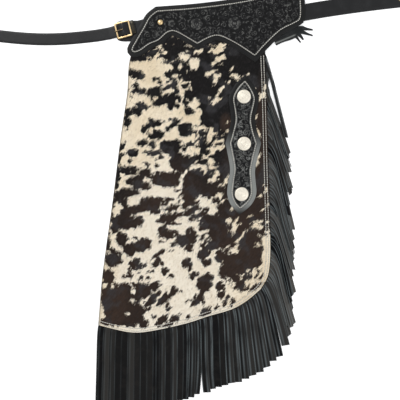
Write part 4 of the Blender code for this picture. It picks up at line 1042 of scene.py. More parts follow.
def make_fringe():
    """A strip under the hide's edge and its strands, each a closed band fused into the strip."""
    marks, pitch = fringe_marks()
    draw = random.Random(FRINGE_SEED)
    verts, faces, tone, highlight_and_wear = [], [], [], []
    feet = []
    for before, here, after in zip([marks[0], *marks], marks, [*marks[1:], marks[-1]]):
        along = (after - before).normalized()
        outward = Vector((along.y, -along.x))
        feet.append((here - outward * STRIP_UNDER, here + outward * STRIP_OUT))
    for inner, outer in feet:
        for point in (inner, outer):
            for z in (0, FRINGE):
                verts.append((point.x, point.y, z))
                tone.append(0.1)
                highlight_and_wear.append(0)
    faces += [(0, 2, 3, 1), tuple(4 * STRANDS + k for k in (1, 3, 2, 0))]
    for index in range(STRANDS):
        low, high = 4 * index, 4 * index + 4
        faces.append((low, low + 1, high + 1, high))
        faces.append((low + 1, low + 3, high + 3, high + 1))
        faces.append((low + 2, low, high, high + 2))
        first, last = Vector(verts[low + 2]).xy, Vector(verts[high + 2]).xy
        side = (last - first).normalized()
        outward = Vector((side.y, -side.x))
        share = (index + 0.5) / STRANDS
        foot = ((last - first) / 2).to_3d()
        on_side = ease((share - 0.36) / 0.12)
        trim = 1 - draw.uniform(0.0, 0.012)
        trim -= on_side * (0.03 + 0.03 * math.sin(index * 1.1) + draw.uniform(0, 0.06))
        trim -= 0.018 * ease((share - 0.22) / 0.08) * ease((0.56 - share) / 0.08)
        trim -= 0.027 * ease((share - 0.42) / 0.04) * ease((0.56 - share) / 0.06)
        is_last = index == STRANDS - 1
        trim = 1 if is_last else trim
        over = on_side * (index % OVER_EVERY == 1)
        near_top = ease((share - 0.90) / 0.06)
        parting = math.copysign(PARTING, index - PARTING_AT) * math.exp(-abs(index - PARTING_AT) / PARTING_FADE)
        bow = BOW * ease((share - 0.22) / 0.1) * ease((0.56 - share) / 0.1)
        rows = strand_rows((first + last) / 2, outward, share, pitch, foot, trim)
        wave = WAVE * on_side * (math.sin(index * 0.47) + 0.6 * math.sin(index * 1.3 + 1))
        tuck = -TUCK * ease((share - 0.78) / 0.12)
        flare = FLARE * ease((share - 0.33) / 0.08) * (0.35 + 0.65 * ease((0.64 - share) / 0.1))
        flare += PROUD_FLARE * (index in PROUD)
        corner = WIDER_CORNER * ease((share - 0.20) / 0.10) * ease((0.52 - share) / 0.1)
        split = draw.choice((-0.34, 0.0, 0.34, 2))
        other_tone = draw.uniform(-0.15, 0.3)
        lit_share = 0.30 + 0.70 * ease((share - 0.12) / 0.15)
        slant = draw.uniform(-1, 1) * (0.0012 + 0.0035 * on_side)
        spread = WIDER + on_side * WIDER_SIDE
        # strand tone, more uneven on the side: partly the strands' own tone, partly painted light and shade between
        # overlapping strands
        strand_tone = draw.uniform(0, 0.14)
        strand_tone += (0.32 + 0.40 * math.sin(index * 0.83) + draw.uniform(-0.3, 0.45)) * on_side
        phase, sway = draw.uniform(0, 6.28), draw.uniform(0.2, 0.6)
        cup = draw.uniform(0.10, 0.45) * (1 if draw.random() < 0.7 else -1)
        rings = []
        for step, (middle, half) in enumerate(rows[1:], 1):
            part = step / STRAND_STEPS
            settled = ease(part * 3)
            across = half.normalized()
            up = across.cross(Vector((0, 0, 1)).cross(across)).normalized()
            up = up if up.z > 0 else -up
            shift = across * (math.sin(phase + part * 5) * SLIT * 0.35 * sway * settled + wave * part * part)
            if is_last:
                inward = LAST_IN * ease(part * 6) - LAST_BACK * part * part
                bulge = LAST_BULGE * ease(part * 4) * ease((0.62 - part) / 0.12)
                longer = LAST_LONGER * part * part
                shift += Vector((longer * 0.21 - inward - bulge, -longer * 0.98, 0))
            else:
                inward = TUCK_TOP * near_top * (0.25 * ease(part * 3) + 0.75 * ease((part - 0.50) / 0.14))
                shift += Vector((tuck * math.sin(math.pi * part**0.8) + flare * part**1.5 - inward, 0, 0))
            shift += up * OVER_LIFT * over * settled
            shift.x += parting * part**7 + bow * math.sin(math.pi * part)
            shift += across * (OVER_SWAY * over * math.sin(part * 4.2 + index) * settled)
            shift += up * LIFT * (index % 2) * settled * (1 - on_side)
            wider = half + across * (spread * ease(part * 6) + (corner + LAST_WIDER * is_last) * part)
            wider += across * (bulge if is_last else OVER_WIDER * over * settled)
            slanted = slant if step == STRAND_STEPS else 0
            ahead = (rows[step][0] - rows[step - 1][0]).normalized() * slanted
            ring = []
            for layer in (1, -1):
                for column in range(STRAND_COLUMNS):
                    x = (2 * column / (STRAND_COLUMNS - 1) - 1) * layer * -1
                    thin = 1 - 0.35 * abs(x) ** 3
                    bow = cup * settled * 0.0006 * (1 - x * x)
                    point = middle + shift + wider * x + ahead * x + up * (layer * FRINGE / 2 * thin)
                    point += up * (bow if layer == 1 else 0)
                    ring.append(len(verts))
                    verts.append((point.x, point.y, max(point.z, 0.0)))
                    tone.append(strand_tone + (other_tone if x > split else 0))
                    # painted highlight on the strands' top edges, brighter on one side, and down the middle of a
                    # split strand; worn varies it along the strand
                    lit = 0.9 if x < -0.8 else 0.3 if x > 0.8 else 0.6 if abs(x - split) < 0.1 else 0
                    worn = 0.3 + 0.7 * abs(math.sin(phase * 3 + part * 7))
                    highlight_and_wear.append((layer == 1) * lit * lit_share * worn)
            rings.append(ring)
        start = rings[0]
        root_ring = (low + 2, high + 2, high + 3, low + 3)
        top_row, low_row = start[:STRAND_COLUMNS], start[STRAND_COLUMNS:]
        ends = [Vector(verts[top_row[0]]).xy, Vector(verts[top_row[-1]]).xy]
        if (ends[0] - first).length > (ends[0] - last).length:
            corner_low, corner_high = (root_ring[1], root_ring[2]), (root_ring[0], root_ring[3])
        else:
            corner_low, corner_high = (root_ring[0], root_ring[3]), (root_ring[1], root_ring[2])
        faces.append((corner_low[1], *top_row, corner_high[1]))
        faces.append((corner_high[0], *low_row, corner_low[0]))
        faces.append((corner_low[0], low_row[-1], top_row[0], corner_low[1]))
        faces.append((corner_high[1], top_row[-1], low_row[0], corner_high[0]))
        for ring, following in zip(rings, rings[1:]):
            faces += band(ring, following)
        faces.append(tuple(rings[-1]))
    verts = np.array(verts)
    outside = np.where(within(verts[:, :2], EDGE_LOOP), 0, distances(verts[:, :2], FRINGE_PATH))
    verts[:, 2] = np.minimum(verts[:, 2], UNDER_HIDE + RISE_OUTSIDE * outside)
    return verts, faces, tone, highlight_and_wear


def recalculate(obj):
    """Turns a mesh's faces outward."""
    bpy.context.view_layer.objects.active = obj
    obj.select_set(True)
    bpy.ops.object.mode_set(mode="EDIT")
    bpy.ops.mesh.select_all(action="SELECT")
    bpy.ops.mesh.normals_make_consistent(inside=False)
    bpy.ops.object.mode_set(mode="OBJECT")
    obj.select_set(False)


# Flowers of the yoke's carving: x, y, radius
YOKE_FLOWERS = ((0.3590, 0.398, 0.0165), (0.4500, 0.400, 0.0180), (0.5350, 0.455, 0.0125), (0.2990, 0.3995, 0.0100))
YOKE_SCROLL, YOKE_LEAF = (0.0055, 0.0100), (0.007, 0.013)
OVERLAY_SCROLL, OVERLAY_LEAF = (0.0045, 0.0085), (0.007, 0.014)
CARVE_DEPTH, STEM_HALF = 0.0011, 0.0016


def spiral(x, y, radius, turns, start, sense):
    points = []
    for step in range(25):
        part = step / 24
        angle = math.radians(start) + sense * turns * 2 * math.pi * part
        reach = radius * (1 - 0.80 * part)
        points.append((x + reach * math.cos(angle), y + reach * math.sin(angle)))
    return points


def ridge(points, path, half_from, half_to):
    """Rounded raised line along a path that narrows."""
    height = np.zeros(len(points))
    path = np.array(path)
    for k, (a, b) in enumerate(zip(path, path[1:])):
        half = half_from + (half_to - half_from) * k / (len(path) - 1)
        step = b - a
        along = np.clip(((points - a) @ step) / max(step @ step, 1e-18), 0, 1)
        gap = points - a - along[:, None] * step
        height = np.maximum(height, eased((1 - np.hypot(gap[:, 0], gap[:, 1]) / half) * 1.9))
    return height


def petal(points, x, y, length, wide, direction, vein=0.45):
    """Rounded leaf from its foot at x, y, with a groove down its middle and cut side veins."""
    turn = math.radians(direction)
    dx, dy = points[:, 0] - x, points[:, 1] - y
    along = (dx * math.cos(turn) + dy * math.sin(turn)) / length
    across = (dy * math.cos(turn) - dx * math.sin(turn)) / length
    bent = across - 0.16 * np.sin(np.pi * np.clip(along, 0, 1))
    width = wide * np.sqrt(np.clip(np.sin(np.pi * np.clip(along, 0, 1) ** 0.8), 0, 1))
    inside = 1 - np.abs(bent) / np.maximum(width, 1e-6)
    height = np.where((along > 0) & (along < 1), eased(inside * 2.4), 0)
    groove = vein * np.exp(-((bent / 0.045) ** 2))
    cuts = 0.25 * (0.5 + 0.5 * np.sin(along * 34 - np.abs(bent) * 30)) * np.clip(np.abs(bent) * 6, 0, 1)
    return np.clip(height - np.where(height > 0.2, groove + cuts, 0), 0, 1)


def packed_work(outline, taken, sizes, leaf_sizes, seed):
    """Scrolls and leaves packed over a panel around the taken circles, leaves turned with the nearest scroll."""
    draw = random.Random(seed)
    closed = [*outline, outline[0]]
    xs, ys = [p.x for p in outline], [p.y for p in outline]
    spots = np.array([(draw.uniform(min(xs), max(xs)), draw.uniform(min(ys), max(ys))) for _ in range(4000)])
    edge = np.where(within(spots, outline), distances(spots, closed), -1)
    scrolls, leaves = [], []
    circles = list(taken)
    for (x, y), room in zip(spots[:700], edge[:700]):
        radius = draw.uniform(*sizes)
        settings = draw.uniform(1.2, 1.6), draw.uniform(0, 360), draw.choice((-1, 1))
        if room > radius + 0.003 and all(math.hypot(x - a, y - b) > (radius + r) * 1.03 for a, b, r in circles):
            circles.append((x, y, radius))
            scrolls.append((x, y, radius, *settings))
    middles = []
    for (x, y), room in zip(spots[700:], edge[700:]):
        length, jitter = draw.uniform(*leaf_sizes), draw.uniform(-35, 35)
        near = min(circles, key=lambda row: math.hypot(x - row[0], y - row[1]) - row[2])
        clear = math.hypot(x - near[0], y - near[1]) > near[2] + 0.0015
        if room > 0.006 and clear and all(math.hypot(x - a, y - b) > length * 0.52 for a, b in middles):
            middles.append((x, y))
            direction = math.degrees(math.atan2(y - near[1], x - near[0])) + 75 + jitter
            turn = math.radians(direction)
            leaves.append((x - length / 2 * math.cos(turn), y - length / 2 * math.sin(turn), length, direction))
    return scrolls, leaves


def carving(scrolls, flowers, leaves, rim):
    """relief(points, gaps) of traditional scroll and leaf work inside a plain rim."""

    def relief(points, gaps):
        raised = np.zeros(len(points))
        for row in scrolls:
            near = np.hypot(points[:, 0] - row[0], points[:, 1] - row[1]) < row[2] + 0.004
            path = spiral(*row)
            raised[near] = np.maximum(raised[near], ridge(points[near], path, STEM_HALF, STEM_HALF * 0.5))
            tip = path[-1]
            bead = eased((1 - np.hypot(points[near, 0] - tip[0], points[near, 1] - tip[1]) / (STEM_HALF * 1.3)) * 2)
            raised[near] = np.maximum(raised[near], bead)
        for x, y, length, direction in leaves:
            near = np.hypot(points[:, 0] - x, points[:, 1] - y) < length * 1.1
            raised[near] = np.maximum(raised[near], petal(points[near], x, y, length, 0.24, direction))
        for x, y, radius in flowers:
            away = np.hypot(points[:, 0] - x, points[:, 1] - y)
            angle = np.arctan2(points[:, 1] - y, points[:, 0] - x)
            lobes = radius * (0.80 + 0.20 * np.abs(np.cos(angle * 2.5)) ** 0.7)
            blossom = eased((1 - away / lobes) * 5)
            blossom = blossom * (1 - 0.55 * np.exp(-((np.cos(angle * 2.5) / 0.16) ** 2)) * (away > radius * 0.3))
            ring = 0.5 * np.exp(-(((away - radius * 0.62) / (radius * 0.05)) ** 2))
            blossom = blossom - ring * (np.abs(np.cos(angle * 2.5)) > 0.4)
            blossom = blossom - 0.7 * np.exp(-(((away - radius * 0.30) / (radius * 0.06)) ** 2))
            raised = np.where(away < lobes + 0.001, np.clip(blossom, 0, 1), raised)
        inside = eased((gaps - rim) / 0.0012)
        raised = np.maximum(raised * inside, 1 - inside)
        groove = 0.5 * np.exp(-(((gaps - rim - 0.0002) / 0.0006) ** 2))
        return -CARVE_DEPTH * (1 - raised) - groove * CARVE_DEPTH, np.clip(raised - groove, 0, 1)

    return relief


def border_relief(points, gaps):
    """A pressed line near the edge of a plain border and a slight crown."""
    line = np.exp(-(((gaps - 0.0026) / 0.0005) ** 2))
    return -0.00045 * line, 1 - 0.3 * line


def make_yokes():
    panel = closed_outline(YOKE_PANEL)
    verts, faces, _ = plate(outset(panel, BORDER), YOKE_Z, YOKE_Z + YOKE, 0.004, None, 0.0007)
    add_pair("yoke_border", verts, faces, BORDER_LEATHER, "black_leather")
    scrolls, leaves = packed_work(panel, [*YOKE_FLOWERS, (*YOKE_STUD, 0.009)], YOKE_SCROLL, YOKE_LEAF, 21)
    relief = carving(scrolls, YOKE_FLOWERS, leaves, 0.0040)
    verts, faces, raised = plate(panel, PANEL_Z, PANEL_TOP, 0.0013, relief, 0.0007)
    add_pair("yoke_panel", verts, faces, CARVED, "carved_leather", values={"raised": raised})
    return panel


def overlay_shape():
    left = [(x, y, corner) for y, x, _, corner in OVERLAY]
    right = [(x, y, corner) for y, _, x, corner in OVERLAY[1:-1]]
    return closed_outline(left + right[::-1])


def make_overlays():
    panel = overlay_shape()
    verts, faces, raised = plate(outset(panel, BORDER), YOKE_Z, YOKE_Z + YOKE, 0.0022, border_relief, 0.0008)
    lit = eased((0.150 - verts[:, 1]) / 0.08) * eased((verts[:, 1] + 0.06) / 0.03) * raised
    add_pair("overlay_border", verts, faces, BORDER_LEATHER, "black_leather", values={"lit": lit})
    taken = [(*spot, CONCHO_RADIUS) for spot in CONCHOS]
    scrolls, leaves = packed_work(panel, taken, OVERLAY_SCROLL, OVERLAY_LEAF, 22)
    relief = carving(scrolls, (), leaves, 0.0042)
    verts, faces, raised = plate(panel, PANEL_Z, PANEL_TOP, 0.0011, relief, 0.0007)
    lit = np.ones(len(verts))
    add_pair("overlay_panel", verts, faces, CARVED, "carved_leather", values={"raised": raised, "lit": lit})
    return panel


# Stitches
STITCH_SIDES, STITCH_RINGS = 6, 5


def stitch_mesh(line, length, gap, radius, closed=True, sunk=0.25):
    """Closed capsules of thread along a line of x, y, z."""
    path = [Vector(p) for p in line]
    if closed:
        path.append(path[0])
    total = length_of(path)
    count = max(1, int(total / (length + gap)))
    verts, faces = [], []
    for index in range(count):
        centre = (index + 0.5) / count
        half = length / total / 2
        a, b = resample(path, (max(0, centre - half), min(1, centre + half)))
        along = (b - a).normalized()
        across = along.cross(Vector((0, 0, 1))).normalized()
        start = len(verts)
        for ring in range(STITCH_RINGS):
            part = ring / (STITCH_RINGS - 1)
            swell = math.sin(math.pi * (0.12 + 0.76 * part)) ** 0.6
            middle = a.lerp(b, part)
            for side in range(STITCH_SIDES):
                angle = 2 * math.pi * side / STITCH_SIDES
                reach = across * math.cos(angle) * radius
                reach += Vector((0, 0, 1)) * math.sin(angle) * radius * 0.7
                verts.append(middle + reach * swell + Vector((0, 0, radius * (0.7 - sunk))))
        for ring in range(STITCH_RINGS - 1):
            for side in range(STITCH_SIDES):
                after = (side + 1) % STITCH_SIDES
                low = start + ring * STITCH_SIDES
                faces.append((low + side, low + after, low + STITCH_SIDES + after, low + STITCH_SIDES + side))
        faces.append(tuple(start + side for side in reversed(range(STITCH_SIDES))))
        last = start + (STITCH_RINGS - 1) * STITCH_SIDES
        faces.append(tuple(last + side for side in range(STITCH_SIDES)))
    return verts, faces


def add_stitches(name, lines, length=0.0040, gap=0.0012, radius=0.0011, closed=True):
    """Thread pieces of several lines as one mesh for each side."""
    verts, faces = [], []
    for line in lines:
        more, bands = stitch_mesh(line, length, gap, radius, closed)
        faces += moved_on(bands, len(verts))
        verts += more
    return [
        add_piece(f"{name}_{side}", verts, faces, THREAD, "black_leather", None, side == "right")
        for side in ("left", "right")
    ]


def edge_line(rows, inset):
    """x, y of a line this far inside the leg's fringe path."""
    points = []
    for before, here, after in zip([rows[0], *rows], rows, [*rows[1:], rows[-1]]):
        along = (after - before).normalized()
        points.append(here + Vector((-along.y, along.x)) * inset)
    return points


def make_stitches(yoke, overlay):
    top = PANEL_TOP
    yoke_line = [(p.x, p.y, top) for p in outset(dense_outline(yoke, 0.006), -0.0012)]
    overlay_line = [(p.x, p.y, top) for p in outset(dense_outline(overlay, 0.005), -0.0010)]
    made = add_stitches("stitches_yoke", [yoke_line]) + add_stitches("stitches_overlay", [overlay_line])
    path = dense_line(FRINGE_PATH, 0.008)
    path = [p for p in path if p.y < 0.325]
    lines = []
    for inset in HEM_STITCHES:
        flat = edge_line(path, inset)
        spots = np.array([tuple(p) for p in flat])
        heights = hide_heights(spots) + HIDE + 0.0002
        lines.append([(x, y, z) for (x, y), z in zip(spots, heights)])
    made += add_stitches("stitches_hem", lines, 0.0046, 0.0010, 0.0010, closed=False)
    return made


# Round hardware
def turned_piece(profile, steps, ripple=None):
    """Points and faces of a closed turned solid from radius, height rows that start and end on the axis."""
    verts, faces, marks = [], [], []
    rings = []
    for radius, z in profile:
        if radius == 0:
            rings.append([len(verts)])
            verts.append((0, 0, z))
            marks.append(0)
            continue
        ring = []
        for step in range(steps):
            angle = 2 * math.pi * step / steps
            lift, mark = ripple(radius, angle) if ripple else (0, 0)
            ring.append(len(verts))
            verts.append((radius * math.cos(angle), radius * math.sin(angle), z + lift))
            marks.append(mark)
        rings.append(ring)
    for first, second in zip(rings, rings[1:]):
        if len(first) == len(second) == 1:
            continue
        for step in range(steps):
            after = (step + 1) % steps
            if len(first) == 1:
                faces.append((first[0], second[step], second[after]))
            elif len(second) == 1:
                faces.append((first[step], second[0], first[after]))
            else:
                faces.append((first[step], second[step], second[after], first[after]))
    return np.array(verts), faces, marks


def concho_ripple(radius, angle):
    """Plain traditional engraving: rays in the dish, a beaded rim, petals on the crown."""
    share = radius / CONCHO_RADIUS
    if 0.10 < share < 0.46:
        mark = max(0.0, math.cos(angle * 8)) ** 3
        return -0.0002 * mark, 0.4 * mark
    if 0.50 < share < 0.80:
        mark = max(0.0, math.cos(angle * 24)) ** 4
        return -0.0003 * mark, 0.45 * mark
    if 0.84 < share < 0.97:
        return 0.00025 * math.cos(angle * 36), 0.2 * max(0, -math.cos(angle * 36))
    return 0, 0


CONCHO_TOP = (
    (0, 0.0042), (0.0012, 0.00418), (0.0025, 0.0041), (0.004, 0.0039), (0.0055, 0.0036), (0.007, 0.0032),
    (0.0078, 0.00285), (0.0084, 0.003), (0.0092, 0.0029), (0.0105, 0.0027), (0.0118, 0.0025),
    (0.013, 0.0023), (0.0135, 0.002), (0.014, 0.0021), (0.0148, 0.002), (0.0156, 0.0017), (0.0162, 0.0011),
    (0.0165, 0.0006), (0.0165, 0), (0, 0),
)
STUD_TOP = (
    (0, 0.0034), (0.0015, 0.0033), (0.003, 0.003), (0.0043, 0.0025), (0.0054, 0.0018), (0.0061, 0.001),
    (0.0065, 0.0004), (0.0065, 0), (0, 0),
)


def make_ornaments():
    verts, faces, marks = turned_piece(CONCHO_TOP, 96, concho_ripple)
    looks = {"values": {"engraved": marks}, "sharp": 60}
    for number, spot in enumerate(CONCHOS, 1):
        add_pair(f"concho_{number}", verts + (*spot, CONCHO_Z), faces, SILVER, "silver", **looks)
    verts, faces, marks = turned_piece(STUD_TOP, 32)
    looks = {"values": {"engraved": marks}, "sharp": 60}
    add_pair("yoke_stud", verts + (*YOKE_STUD, CONCHO_Z), faces, BRASS, "brass", **looks)


# Straps
def laid(points, steps=CURVE_STEPS):
    return [Vector((p.x, p.y, max(p.z, STRAP / 2))) for p in smooth(points, steps)]


def in_buckle(along, side, z):
    point = turned(Vector((along, side)), BUCKLE_TURN)
    return Vector((point.x + BUCKLE_AT[0], point.y + BUCKLE_AT[1], z))


def slot_outline(x, y, radius, length=0.0, steps=8):
    """Outline of a round hole, or of a slot that runs on along x."""
    turns = [math.radians(-90 + 180 * k / steps) for k in range(steps + (length > 0))]
    right = [Vector((x + length + radius * math.cos(turn), y + radius * math.sin(turn))) for turn in turns]
    left = [Vector((x - radius * math.cos(turn), y - radius * math.sin(turn))) for turn in turns]
    return right + left


def slot_gap(points, x, y, radius, length=0.0):
    """Distance of each point from the hole, negative inside it."""
    along = np.clip(points[:, 0] - x, 0, length)
    return np.hypot(points[:, 0] - x - along, points[:, 1] - y) - radius


def sheet_plate(outline, thickness, spacing, holes=(), edge=0.0006, relief=None):
    """Closed plate in flat coordinates, dense on both faces. Holes are x, y, radius and length of a slot."""
    rim = dense_outline(outline, spacing)
    closed = [*rim, rim[0]]
    loops = [rim] + [slot_outline(*hole) for hole in holes]
    ring = np.array([tuple(p) for p in rim])
    inner = packed_points(ring, spacing)
    keep = distances(inner, closed) > spacing * 0.5
    for hole in holes:
        keep &= slot_gap(inner, *hole) > spacing * 0.4
    points, edges = [], []
    for loop in loops:
        start = len(points)
        points += loop
        edges += [(start + k, start + (k + 1) % len(loop)) for k in range(len(loop))]
    points += [Vector(p) for p in inner[keep]]
    flat, faces = triangulated(points, edges)
    kept = []
    for face in faces:
        centre = flat[list(face)].mean(axis=0)[None]
        if all(slot_gap(centre, *hole)[0] > -0.02 * hole[2] for hole in holes):
            kept.append(tuple(face))
    gaps = distances(flat[: len(points)], closed)
    curve = edge * rounded(gaps, edge * 1.6)
    lift = relief(flat, gaps) if relief else 0
    count = len(flat)
    top = np.column_stack([flat, thickness / 2 - curve + lift])
    under = np.column_stack([flat, curve * 0.6 - thickness / 2])
    made = kept + moved_on([face[::-1] for face in kept], count)
    start = 0
    for number, loop in enumerate(loops):
        for k in range(len(loop)):
            a, b = start + k, start + (k + 1) % len(loop)
            made.append((a, a + count, b + count, b) if number == 0 else (b, b + count, a + count, a))
        start += len(loop)
    return np.concatenate([top, under]), made


def strap_line(gaps_from_edge=0.0024):
    """Pressed crease line along a strap's edges."""

    def relief(flat, gaps):
        return -0.0003 * np.exp(-(((gaps - gaps_from_edge) / 0.0005) ** 2))

    return relief


def along_path(verts, path, across=None):
    """Moves flat points (along, across, up) onto a middle line of x, y, z."""
    path = [Vector(p) for p in path]
    lengths = np.concatenate([[0], np.cumsum([(b - a).length for a, b in zip(path, path[1:])])])
    frames = []
    for before, after in zip([path[0], *path], [*path[1:], path[-1]]):
        step = (after - before).normalized()
        side = Vector(across) if across else Vector((-step.y, step.x, 0)).normalized()
        frames.append((side, step.cross(side)))
    moved = []
    for s, t, h in verts:
        s = min(max(s, 0), lengths[-1] + 0.03)
        k = min(int(np.searchsorted(lengths, s, side="right")) - 1, len(path) - 2)
        part = (s - lengths[k]) / (lengths[k + 1] - lengths[k])
        middle = path[k] + (path[k + 1] - path[k]) * part
        part = min(1, part)
        side = frames[k][0].lerp(frames[k + 1][0], part).normalized()
        up = frames[k][1].lerp(frames[k + 1][1], part).normalized()
        moved.append(middle + side * t + up * h)
    return moved


def straight_outline(length, width, tip=()):
    """Anticlockwise outline of a strap lying along x, with the rows of tip (reach, share of the width)."""
    half = width / 2
    lower = [(0, -half), (length, -half)] + [(length + reach, -half * share) for reach, share in tip]
    upper = [(x, -y) for x, y in reversed(lower)]
    return [Vector(p) for p in lower + upper]


SLOT_HALF = 0.0023


def make_front_strap():
    middle = laid(FRONT_STRAP)
    near = [in_buckle(x, 0, z) for x, z, _ in STRAP_IN_BUCKLE]
    path = middle + near
    total = length_of(path)
    first = next(k for k, row in enumerate(STRAP_IN_BUCKLE) if row[2])
    reach = length_of(path[: len(middle) + first + 1])
    last = next(k for k, row in enumerate(STRAP_IN_BUCKLE) if k > first and not row[2])
    run = length_of(path[len(middle) + first : len(middle) + last + 1])
    slot = (reach + SLOT_HALF, 0, SLOT_HALF, run - 2 * SLOT_HALF)
    verts, faces = sheet_plate(straight_outline(total, STRAP_WIDTH), STRAP, 0.0026, [slot], relief=strap_line())
    verts = along_path(verts, path)
    name = "front_strap"
    return add_piece(f"{name}_cover", verts, faces, STRAP_LEATHER, "black_leather", name), total


def make_buckle():
    made = {}
    verts, faces = sheet_plate(closed_outline(SAFE), STRAP, 0.0022, relief=strap_line(0.0030))
    verts = verts + (0, 0, STRAP / 2)
    made["safe"] = add_piece("buckle_safe_cover", verts, faces, STRAP_LEATHER, "black_leather", "buckle_safe")

    path = list(CHAPE_OUT)
    for step in range(13):
        angle = math.radians(WRAP_FROM + (WRAP_TO - WRAP_FROM) * step / 12)
        path.append((WRAP_RADIUS * math.cos(angle), FRAME_Z + WRAP_RADIUS * math.sin(angle)))
    path += CHAPE_BACK
    side = turned(Vector((0, -1)), BUCKLE_TURN)
    points = [in_buckle(x, 0, z) for x, z in path]
    total = length_of(points)
    outline = straight_outline(total, CHAPE_WIDTH)
    verts, faces = sheet_plate(outline, CHAPE, 0.0018, edge=0.0004, relief=strap_line(0.0018))
    verts = along_path(verts, points, (side.x, side.y, 0))
    made["chape"] = add_piece("buckle_chape_cover", verts, faces, STRAP_LEATHER, "black_leather", "buckle_chape")

    tilt = Matrix.Rotation(BUCKLE_TURN, 4, "Z") @ Matrix.Rotation(-BUCKLE_TILT, 4, "Y")
    home = Matrix.Translation((*BUCKLE_AT, FRAME_Z)) @ tilt
    x, y, corner = FRAME_LENGTH / 2 - BAR / 2, FRAME_WIDTH / 2 - BAR / 2, FRAME_CORNER - BAR / 2
    loop = []
    for cx, cy, start in ((x, -y, -90), (x, y, 0), (-x, y, 90), (-x, -y, 180)):
        for step in range(7):
            turn = math.radians(start + 15 * step)
            inset_x, inset_y = (corner if cx > 0 else -corner), (corner if cy > 0 else -corner)
            loop.append((cx - inset_x + corner * math.cos(turn), cy - inset_y + corner * math.sin(turn), 0))
    verts, faces = tube([Vector(p) for p in loop], BAR / 2, BAR_THICK / 2, closed=True)
    bar = [Vector((0, -y + k * y / 6, 0)) for k in range(13)]
    more, bands = tube(bar, CENTRE_BAR / 2, BAR_THICK / 2)
    faces += moved_on(bands, len(verts))
    verts = [home @ point for point in verts + more]
    made["frame"] = add_piece("buckle_frame_cover", verts, faces, BRASS, "brass", "buckle_frame")

    line = smooth([in_buckle(x, 0, z) for x, z in TONGUE], 5)
    widths = [TONGUE_RADIUS * (1 if k < len(line) - 6 else 1 - 0.09 * (k - len(line) + 6)) for k in range(len(line))]
    verts, faces = tube(line, TONGUE_RADIUS, TONGUE_RADIUS, sizes=[w / TONGUE_RADIUS for w in widths])
    made["tongue"] = add_piece("buckle_tongue_cover", verts, faces, TONGUE_METAL, "brass", "buckle_tongue")

    half, thick = STRAP_WIDTH / 2 + KEEPER_PLAY + KEEPER_THICK / 2, KEEPER_THICK / 2
    top = KEEPER_INNER + thick
    arch = [(-half, KEEPER_FOOT), (-half, top - 0.0006), (-half + 0.0006, top)]
    arch = arch + [(-half / 2, top), (0, top)] + [(-y, z) for y, z in [*arch, (-half / 2, top)][::-1]]
    line = [Vector((KEEPER_AT, along, z)) for along, z in arch]
    verts, faces = tube(line, KEEPER_WIDTH / 2, thick, flat_axis=Vector((1, 0, 0)))
    verts = [in_buckle(p.x, p.y, p.z) for p in verts]
    made["keeper"] = add_piece("buckle_keeper_cover", verts, faces, KEEPER_METAL, "brass", "buckle_keeper")
    return made, total


def tube(path, wide, high, closed=False, sizes=None, flat_axis=None, sides=16):
    """Closed bar of rounded section along a path in its own frame."""
    verts, faces, rings = [], [], []
    count = len(path)
    for k, here in enumerate(path):
        before = path[k - 1] if closed or k else here
        after = path[(k + 1) % count] if closed or k < count - 1 else here
        along = (after - before).normalized()
        across = flat_axis or along.cross(Vector((0, 0, 1))).normalized()
        up = across.cross(along).normalized()
        size = sizes[k] if sizes else 1
        ring = []
        for side in range(sides):
            angle = 2 * math.pi * side / sides
            c, s = math.cos(angle), math.sin(angle)
            x = math.copysign(abs(c) ** 0.8, c) * wide
            z = math.copysign(abs(s) ** 0.8, s) * high
            ring.append(len(verts))
            verts.append(here + (across * x + up * z) * size)
        rings.append(ring)
    pairs = list(zip(rings, rings[1:])) + ([(rings[-1], rings[0])] if closed else [])
    for first, second in pairs:
        faces += band(first, second, True)
    if not closed:
        faces.append(tuple(reversed(rings[0])))
        faces.append(tuple(rings[-1]))
    return verts, faces


def make_leg_straps():
    a, b = (Vector((x, y, FRINGE / 2)) for x, y in LEG_STRAP)
    total = (b - a).length
    verts, faces = sheet_plate(straight_outline(total, LEG_STRAP_WIDTH), FRINGE, 0.005, edge=0.0004)
    return add_pair("leg_strap", along_path(verts, [a, b]), faces, STRAP_LEATHER, "black_leather"), total


def back_strap_point(x):
    for (low, first, _), (high, last, _) in zip(BACK_STRAP, BACK_STRAP[1:]):
        if x <= high:
            return (x, first + (last - first) * (x - low) / (high - low), STRAP)


BACK_STUD_TOP = (
    (0, 0.0092), (0.0011, 0.0091), (0.0022, 0.0086), (0.003, 0.0078), (0.0035, 0.0066), (0.0034, 0.0056),
    (0.003, 0.0045), (0.0022, 0.0039), (0.0018, 0.0034), (0.0018, 0.0016), (0.0024, 0.0012),
    (0.0052, 0.001), (0.0055, 0.0006), (0.0055, 0), (0, 0),
)


def make_back_straps():
    path = laid(BACK_STRAP)
    total = length_of(path)
    outline = straight_outline(total, BACK_WIDTH, BACK_TIP)
    holes = []
    for x in BACK_HOLES:
        spot = Vector(back_strap_point(x)).xy
        reach = min(
            (((a.lerp(b, t)).xy - spot).length, length_of(path[: k + 1]) + (b - a).length * t)
            for k, (a, b) in enumerate(zip(path, path[1:]))
            for t in (i / 20 for i in range(21))
        )[1]
        holes.append((reach, 0, 0.0025))
    made = []
    for side, cut in (("left", []), ("right", holes)):
        verts, faces = sheet_plate(outline, STRAP, 0.0034, cut, relief=strap_line(0.0030))
        verts = along_path(verts, path)
        name, node = f"back_strap_cover_{side}", f"back_strap_{side}"
        made.append(add_piece(name, verts, faces, STRAP_LEATHER, "black_leather", node, side == "right"))
    for number, x in enumerate((0.850, 0.885), 1):
        verts, faces, marks = turned_piece(BACK_STUD_TOP, 28)
        spot = np.array(back_strap_point(x)) + (0, 0, GAP)
        name, node = f"back_stud_cover_{number}", f"back_stud_{number}"
        add_piece(name, verts + spot, faces, BRASS, "brass", node, sharp=60)
    return made, total


